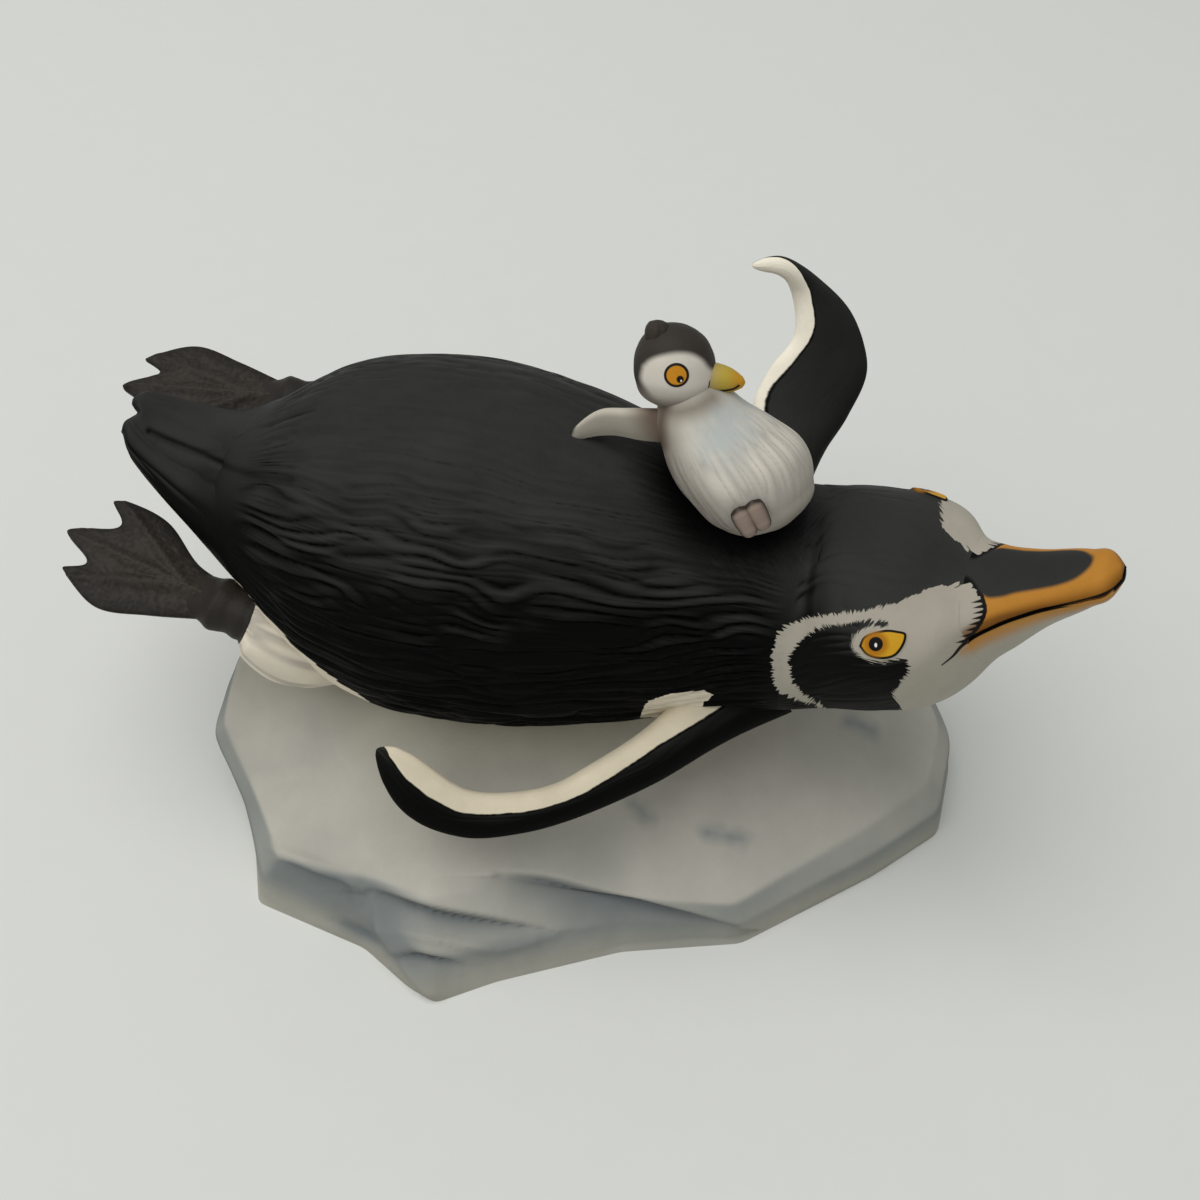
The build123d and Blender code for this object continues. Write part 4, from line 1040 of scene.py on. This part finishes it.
thigh_white = (0.80, 0.73, 0.60)
thigh_shade = (0.50, 0.46, 0.39)
thigh_paint = bisque("White plumage", thigh_white, [("hollow", thigh_shade, 0.6, 0)], 0.6, 0.15, 0.25)
foot_brown = (0.018, 0.0155, 0.013)
foot_worn = (0.038, 0.033, 0.027)
foot_paint = bisque("Foot skin", foot_brown, [("wear_and_sheen", foot_worn, 0.4, 0)], 0.5, 0.5, 0.5)
for name, (side, splay, pitch) in leg_sides.items():
    line = hip_place(side)
    ankle = line @ place(thigh_length, 0, 0)
    ankle_spot = np.linalg.inv(torso_place) @ ankle
    heading = torso_place @ place(*ankle_spot[:3, 3]) @ turn("Z", 180 + side * splay) @ turn("Y", -pitch)
    thigh_points, thigh_edges = thigh(line)
    add_piece(f"adult_{name}_thigh", "white_plumage", thigh_paint, (thigh_points, thigh_edges, "pole"))
    web_points, pebble, middle = web(-side, heading)
    shank_points = shank(ankle, heading)
    # The skin is painted lighter on the raised pebbles and across the web's middle: worn skin, and a painted sheen on
    # the raised pebbles.
    skin = {"wear_and_sheen": pebble / mm * 3 - 0.25 + middle, "strand": web_points * 0}
    bands = {"wear_and_sheen": 0 * shank_points[..., 0] - 0.1, "strand": shank_points * 0}
    add_piece(f"adult_{name}_foot", "adult_foot_skin", foot_paint, (web_points, skin, "seam"), (shank_points, bands, "pole"))

# Chick's body
# A solid bisque egg shape pegged into the adult's back. It is white, combed with soft feather
# strokes, shaded blue-grey over the chest, with painted shade in the strokes' grooves, and brown painted shade at the
# neck, along the back and at the flipper's root.
chick_length = 26 * mm
chick_width = 25.6 * mm
chick_place = torso_place @ place(*(chick_seat + np.array([0, 0, 8.5 * mm])))
chick_place = chick_place @ turn("Z", 17) @ turn("Y", -31) @ turn("X", -42)
# Chick body and head stations: along, forward shift, half depth, half width
chick_body_station_shares = [
    (-0.5, 0.14, 0.11, 0.12),
    (-0.44, 0.14, 0.25, 0.27),
    (-0.31, 0.12, 0.36, 0.40),
    (-0.08, 0.1, 0.425, 0.47),
    (0.15, 0.025, 0.39, 0.42),
    (0.35, -0.02, 0.315, 0.33),
    (0.5, -0.035, 0.265, 0.275),
    (0.64, -0.03, 0.17, 0.17),
]
chest_px = [(700, 430), (712, 405), (735, 398), (752, 412), (748, 440), (728, 462), (704, 455)]
wing_root_px = [(664, 408), (661, 425), (662, 446)]
throat_px = [(655, 400), (672, 412), (695, 408), (712, 398)]
back_px = [(657, 430), (664, 458), (682, 490), (706, 520), (735, 536)]


def stacked(matrix, length, width, stations, angle, rows):
    """Rings up a place's Z axis; angle runs from the front to the right side."""
    table = np.array(stations)
    share = np.linspace(table[0, 0], table[-1, 0], rows)
    shift, depth, half = smooth(table[:, 0], table[:, 1:], share).T[..., None] * width
    across = np.broadcast_arrays(shift + depth * np.cos(angle), -half * np.sin(angle), share[:, None] * length)
    return moved(matrix, np.stack(across, -1)), share[:, None]


def seen_pixels(points):
    """Pixels of the right half of each ring, hidden places taking the outline's pixel, copied to the left half."""
    half = points.shape[1] // 2 + 1
    turned = ((camera_point - points) * facing(points)).sum(-1)[:, :half] > 0
    first = np.argmax(turned, axis=1)[:, None]
    last = half - 1 - np.argmax(turned[:, ::-1], axis=1)[:, None]
    index = np.clip(np.arange(half), first, last)
    pixels = np.take_along_axis(photo_pixels(points)[:, :half], index[..., None], axis=1)
    return np.concatenate([pixels, pixels[:, -2:0:-1]], axis=1)


def chick_body():
    """Stacked rings with combed strokes down the front and sides."""
    angle = both_sides(np.linspace(0, np.pi, 150))
    points, share = stacked(chick_place, chick_length, chick_width, chick_body_station_shares, angle, 150)
    pixels = seen_pixels(points)
    comb = strands(share * 3.5, angle * 15 + share * 7, 101)
    relief = 0.16 * (comb - 0.6) * ease(-0.45, -0.2, share) * (1 - ease(0.2, 0.35, share))
    points = points + facing(points) * (relief * mm)[..., None]
    root, _, _ = nearest(pixels, wing_root_px)
    throat, _, _ = nearest(pixels, throat_px)
    back, _, _ = nearest(pixels, back_px)
    strand = np.stack(np.broadcast_arrays(share * 8, angle * 6, 0 * angle), -1)
    # The strokes' grooves are painted grey as shade; brown painted shade falls under the head, along the back and at
    # the flipper's root.
    return points, {
        "hollow": -relief * 5 - 0.2,
        "chest": inside(pixels, chest_px),
        "root": (5 - root) / pixels_per_mm,
        "throat": (9 - throat) / pixels_per_mm,
        "back": (17 - back) / pixels_per_mm,
        "low": -0.2 - share,
        "strand": strand,
    }


chick_white = (0.66, 0.62, 0.54)
chick_groove_shade = (0.42, 0.39, 0.35)
chick_blue = (0.47, 0.495, 0.48)
chick_root_shade = (0.14, 0.10, 0.075)
chick_warm = (0.33, 0.295, 0.255)
chick_shade = (0.24, 0.21, 0.175)
body_coats = [
    ("low", chick_warm, 0.35, 0),
    ("back", chick_shade, 3.2, 0),
    ("hollow", chick_groove_shade, 0.45, 0),
    ("chest", chick_blue, 4.5, 9),
    ("throat", chick_shade, 2.2, 0),
    ("root", chick_root_shade, 1.3, 0),
]
chick_paint = bisque("Chick down", chick_white, body_coats, 0.6, 0.18, 0.25)
body_points, body_edges = chick_body()
add_piece("chick_body", "chick_down", chick_paint, (body_points, body_edges, "pole"))

# Chick's head
# A round bisque head pegged on the neck, with a white face, a dark-brown airbrushed cap that
# covers the crown and nape, a round orange eye with a black outline, and a small tuft.
chick_head_height = 14.6 * mm
chick_head_width = 14 * mm
chick_head_place = chick_place @ place(0, 0, 0.775 * chick_length) @ turn("Z", 8) @ turn("Y", 30)
chick_head_station_shares = [
    (-0.49, 0.0, 0.17, 0.17),
    (-0.38, 0.0, 0.375, 0.355),
    (-0.18, 0.0, 0.49, 0.46),
    (0.0, -0.01, 0.505, 0.475),
    (0.2, -0.02, 0.465, 0.435),
    (0.38, -0.03, 0.34, 0.32),
    (0.45, -0.037, 0.235, 0.22),
    (0.49, -0.043, 0.13, 0.12),
    (0.505, -0.045, 0.03, 0.03),
]
chick_face_px = [(643, 366), (650, 360), (660, 356), (676, 353), (691, 354), (702, 360), (709, 368), (720, 376),
                 (716, 390), (702, 400), (687, 407), (673, 409), (659, 404), (648, 392), (641, 379)]
chick_eye_px = (676.5, 375)
chick_pupil_px = (680, 379)
chick_glint_px = (681, 380.5)
chick_bill_size = np.array([6.6, 5.6]) * mm
chick_bill_place = chick_head_place @ place(0.345 * chick_head_width, 0, -0.12 * chick_head_height)


def chick_head():
    """Stacked rings with the eyes raised a little."""
    angle = both_sides(np.linspace(0, np.pi, 160))
    points, share = stacked(chick_head_place, chick_head_height, chick_head_width, chick_head_station_shares, angle, 150)
    pixels = seen_pixels(points)

    def disc(centre, across, down):
        offset = (pixels - np.array(centre)) / np.array([across, down])
        return (1 - np.hypot(offset[..., 0], offset[..., 1])) * down / pixels_per_mm

    eye = disc(chick_eye_px, 12.6, 12.2)
    spot = moved(np.linalg.inv(chick_bill_place), points)
    root = np.hypot(spot[..., 1], spot[..., 2]) - chick_bill_size[1] / 2
    points = points + facing(points) * (0.25 * mm * ease(-0.2, 0.5, eye))[..., None]
    return points, {
        "face": inside(pixels, chick_face_px),
        "eye": eye,
        "iris": disc(chick_eye_px, 9.7, 9.3),
        "pupil": disc(chick_pupil_px, 3.6, 3.6),
        "glint": disc(chick_glint_px, 0.9, 1.2),
        "stroke": np.where(spot[..., 0] > 0, 0.25 - np.abs(root / mm), -1) - 2 * ease(0, 3 * mm, spot[..., 2]),
        "chin": -share - 0.24,
        "strand": points * 900,
    }


cap_brown = (0.040, 0.033, 0.027)
chick_face_white = (0.68, 0.63, 0.56)
chick_iris = (0.62, 0.26, 0.015)
head_coats = [
    ("face", chick_face_white, 0.75, 0),
    ("chin", chick_shade, 0.16, 0),
    ("stroke", ink, 0.1, 0),
    ("eye", ink, 0.09, 0),
    ("iris", chick_iris, 0.1, 0),
    ("pupil", ink, 0.09, 0),
    ("glint", glint_white, 0.08, 0),
]
chick_head_paint = bisque("Chick head", cap_brown, head_coats, 0.55, 0.35, 0.25)
chick_head_points, chick_head_edges = chick_head()
add_piece("chick_head", "chick_down", chick_head_paint, (chick_head_points, chick_head_edges, "pole"))

# Chick's bill and tuft
# The bill is a small solid cone that bends down, yellow-olive with an orange tip and a dark gape.
# The tuft is a dab of clay on the back of the crown, painted with the cap.
chick_bill_station_shares = [(0.0, 0.0, 0.5), (0.4, 0.0, 0.47), (0.75, -0.02, 0.36), (0.95, -0.04, 0.23), (1.06, -0.05, 0.12),
                             (1.1, -0.05, 0.03)]
chick_gape_px = [(704, 391), (720, 391.5), (733, 389.5), (739, 386)]
tuft_size = np.array([2.8, 4.4]) * mm
tuft_place = chick_head_place @ place(-0.22 * chick_head_width, -0.1 * chick_head_width, 0.37 * chick_head_height)
tuft_station_shares = [(0.0, 0.5), (0.4, 0.48), (0.7, 0.4), (0.9, 0.26), (1.0, 0.04)]


def chick_bill():
    """Round rings along the bill's X axis, bending down to a blunt tip."""
    table = np.array(chick_bill_station_shares)
    share = np.linspace(0, 1.1, 60)
    lift, half = smooth(table[:, 0], table[:, 1:], share).T
    angle = both_sides(np.linspace(0, np.pi, 60))
    radius = (half * chick_bill_size[1])[:, None]
    rings = np.broadcast_arrays((share * chick_bill_size[0])[:, None], -radius * np.sin(angle),
                                (lift * chick_bill_size[0])[:, None] + radius * np.cos(angle))
    points = moved(chick_bill_place, np.stack(rings, -1))
    gape, _, _ = nearest(seen_pixels(points), chick_gape_px)
    points = points - facing(points) * (0.15 * mm * np.exp(-((gape / 1.5) ** 2)))[..., None]
    tip = share[:, None] - 0.8 + 0 * gape
    return points, {"gape": (1.1 - gape) / pixels_per_mm, "tip": tip, "base": 0.3 - share[:, None] + 0 * gape, "strand": points * 900}


def tuft():
    """Round rings up the tuft's Z axis."""
    table = np.array(tuft_station_shares)
    share = np.linspace(0, 1, 36)
    radius = (smooth(table[:, 0], table[:, 1], share) * tuft_size[1])[:, None]
    angle = np.linspace(0, 2 * np.pi, 60, endpoint=False)
    radius = radius * (1 + 0.05 * np.sin(angle * 7))
    rings = np.broadcast_arrays(radius * np.cos(angle), radius * np.sin(angle), (share * tuft_size[0])[:, None])
    points = moved(tuft_place, np.stack(rings, -1))
    return points, {"face": -1 + 0 * radius, "chin": -1 + 0 * radius, "stroke": -1 + 0 * radius, "eye": -1 + 0 * radius,
                    "iris": -1 + 0 * radius, "pupil": -1 + 0 * radius, "glint": -1 + 0 * radius, "strand": points * 900}


bill_olive = (0.46, 0.34, 0.05)
bill_tip_orange = (0.55, 0.27, 0.02)
bill_base_grey = (0.42, 0.33, 0.20)
chick_bill_coats = [("base", bill_base_grey, 0.3, 0), ("tip", bill_tip_orange, 0.2, 0), ("gape", ink, 0.09, 0)]
chick_bill_paint = bisque("Chick bill", bill_olive, chick_bill_coats, 0.4, 0.2, 0.15)
chick_bill_points, chick_bill_edges = chick_bill()
add_piece("chick_bill", "chick_bill", chick_bill_paint, (chick_bill_points, chick_bill_edges, "pole"))
tuft_points, tuft_edges = tuft()
add_piece("chick_crest_tuft", "chick_crown", chick_head_paint, (tuft_points, tuft_edges, "pole"))

# Chick's flippers
# Small thin blades: the right one is held out behind, the left one lies folded along the body.
# They are pale grey, whiter along the edge and darkened brown at the root as painted shade where they meet the body,
# with a dark tip line.
chick_flipper_length = 26 * mm
chick_flipper_thickness = 3.4 * mm
chick_flipper_thickness_shares = [1.0, 0.9, 0.75, 0.55, 0.3]
# Middle line as forward, left, up, then chord
chick_right_flipper_shares = [
    (-0.17, -0.10, 0.43, 0.26),
    (-0.432, -0.07, 0.541, 0.245),
    (-0.622, -0.055, 0.628, 0.196),
    (-0.827, -0.05, 0.64, 0.105),
    (-0.978, -0.055, 0.614, 0.03),
]
chick_left_flipper_shares = [
    (-0.03, 0.22, 0.42, 0.2),
    (-0.09, 0.37, 0.28, 0.26),
    (-0.11, 0.45, 0.1, 0.24),
    (-0.11, 0.5, -0.08, 0.17),
    (-0.10, 0.52, -0.2, 0.05),
]
flipper_grey = (0.34, 0.31, 0.26)
flipper_pale = (0.55, 0.51, 0.43)
chick_flipper_coats = [("edge", flipper_pale, 0.25, 0), ("root", chick_root_shade, 0.16, 0), ("tip", ink, 0.05, 0)]
chick_flipper_paint = bisque("Chick flipper", flipper_grey, chick_flipper_coats, 0.6, 0.2, 0.25)
chick_flippers = {
    "right": (chick_right_flipper_shares, np.array([0, 0, 1])),
    "left": (chick_left_flipper_shares, np.array([1, 0, 0])),
}
for name, (shares, direction) in chick_flippers.items():
    table = np.array(shares)
    reach = table[:, 3:] / 2 * direction
    leading, trailing = (moved(chick_place, (table[:, :3] + sign * reach) * chick_flipper_length) for sign in (1, -1))
    sizes = np.array(chick_flipper_thickness_shares) * chick_flipper_thickness
    points, share, chord, over = blade(leading, trailing, sizes, 100, 110)
    # Edge values: paler rim, painted shade at the root, dark tip line.
    edges = {
        "edge": np.abs(chord) - 0.75,
        "root": 0.24 - share + 0 * chord,
        "tip": np.where(chord > 0, share - 0.93 + 0.1 * chord, share - 1.0),
        "strand": points * 900,
    }
    add_piece(f"chick_{name}_flipper", "chick_down", chick_flipper_paint, (points, edges, "seam"))

# Chick's feet
# Two short round toes each, tucked against the belly, pinkish brown with dark outlines.
chick_foot_length = 5 * mm
chick_foot_thickness = 4 * mm
chick_feet = {"right": -70, "left": 70}
chick_toe_station_shares = [(-0.5, 0.04), (-0.46, 0.2), (-0.36, 0.33), (-0.1, 0.41), (0.25, 0.45), (0.45, 0.41), (0.58, 0.27), (0.63, 0.05)]


def toe(seat, side):
    """Round rings up the toe with a soft end."""
    table = np.array(chick_toe_station_shares)
    share = np.linspace(table[0, 0], table[-1, 0], 50)
    radius = (smooth(table[:, 0], table[:, 1], share) * chick_foot_thickness)[:, None]
    angle = np.linspace(0, 2 * np.pi, 70, endpoint=False)
    line = seat @ place(chick_width / 2, side * 0.32 * chick_foot_thickness, 0)
    rings = np.broadcast_arrays(radius * np.cos(angle), radius * np.sin(angle), (share * chick_foot_length)[:, None])
    crest = np.cos(angle) - 0.55 - 0.6 * ease(0.45, 0.6, share)[:, None] + 0 * radius
    return moved(line, np.stack(rings, -1)), {"crest": crest, "strand": np.stack(rings, -1) * 900}


chick_foot_dark = (0.030, 0.022, 0.018)
chick_foot_pink = (0.26, 0.20, 0.165)
chick_foot_paint = bisque("Chick foot", chick_foot_dark, [("crest", chick_foot_pink, 0.4, 0)], 0.5, 0.6, 0.3)
for name, bearing in chick_feet.items():
    seat = chick_place @ place(0, 0, -0.265 * chick_length) @ turn("Z", bearing)
    toes = [(*toe(seat, side), "pole") for side in (-1, 1)]
    add_piece(f"chick_{name}_foot", "chick_foot_skin", chick_foot_paint, *toes)

# Studio
# A plain pale floor, one broad soft light high on the left and an even pale surround.
floor_half = 2.0
floor_mesh = bpy.data.meshes.new("floor")
corners = [(-floor_half, -floor_half, 0), (floor_half, -floor_half, 0), (floor_half, floor_half, 0), (-floor_half, floor_half, 0)]
floor_mesh.from_pydata(corners, [], [(0, 1, 2, 3)])
floor_mesh.materials.append(bisque("Floor", (0.74, 0.75, 0.73), [], 0.8, 0.03, 0.0))
floor = bpy.data.objects.new("floor", floor_mesh)
bpy.context.scene.collection.objects.link(floor)

world = bpy.data.worlds.new("World")
world.use_nodes = True
world.node_tree.nodes["Background"].inputs["Color"].default_value = (0.95, 0.98, 0.97, 1)
world.node_tree.nodes["Background"].inputs["Strength"].default_value = 0.38
bpy.context.scene.world = world

lamp = bpy.data.objects.new("Lamp", bpy.data.lights.new("Lamp", "AREA"))
lamp.data.shape = "DISK"
lamp.data.size = 2.0
lamp.data.energy = 19
lamp.data.color = (1.0, 0.985, 0.955)
lamp_point = np.array([-0.5, -0.12, 1.5])
lamp.location = lamp_point
aim = camera_target - lamp_point
lamp.rotation_euler = (np.arctan2(np.hypot(aim[0], aim[1]), -aim[2]), 0, np.arctan2(aim[1], aim[0]) - np.pi / 2)
bpy.context.scene.collection.objects.link(lamp)
bpy.context.scene.view_settings.view_transform = "Standard"
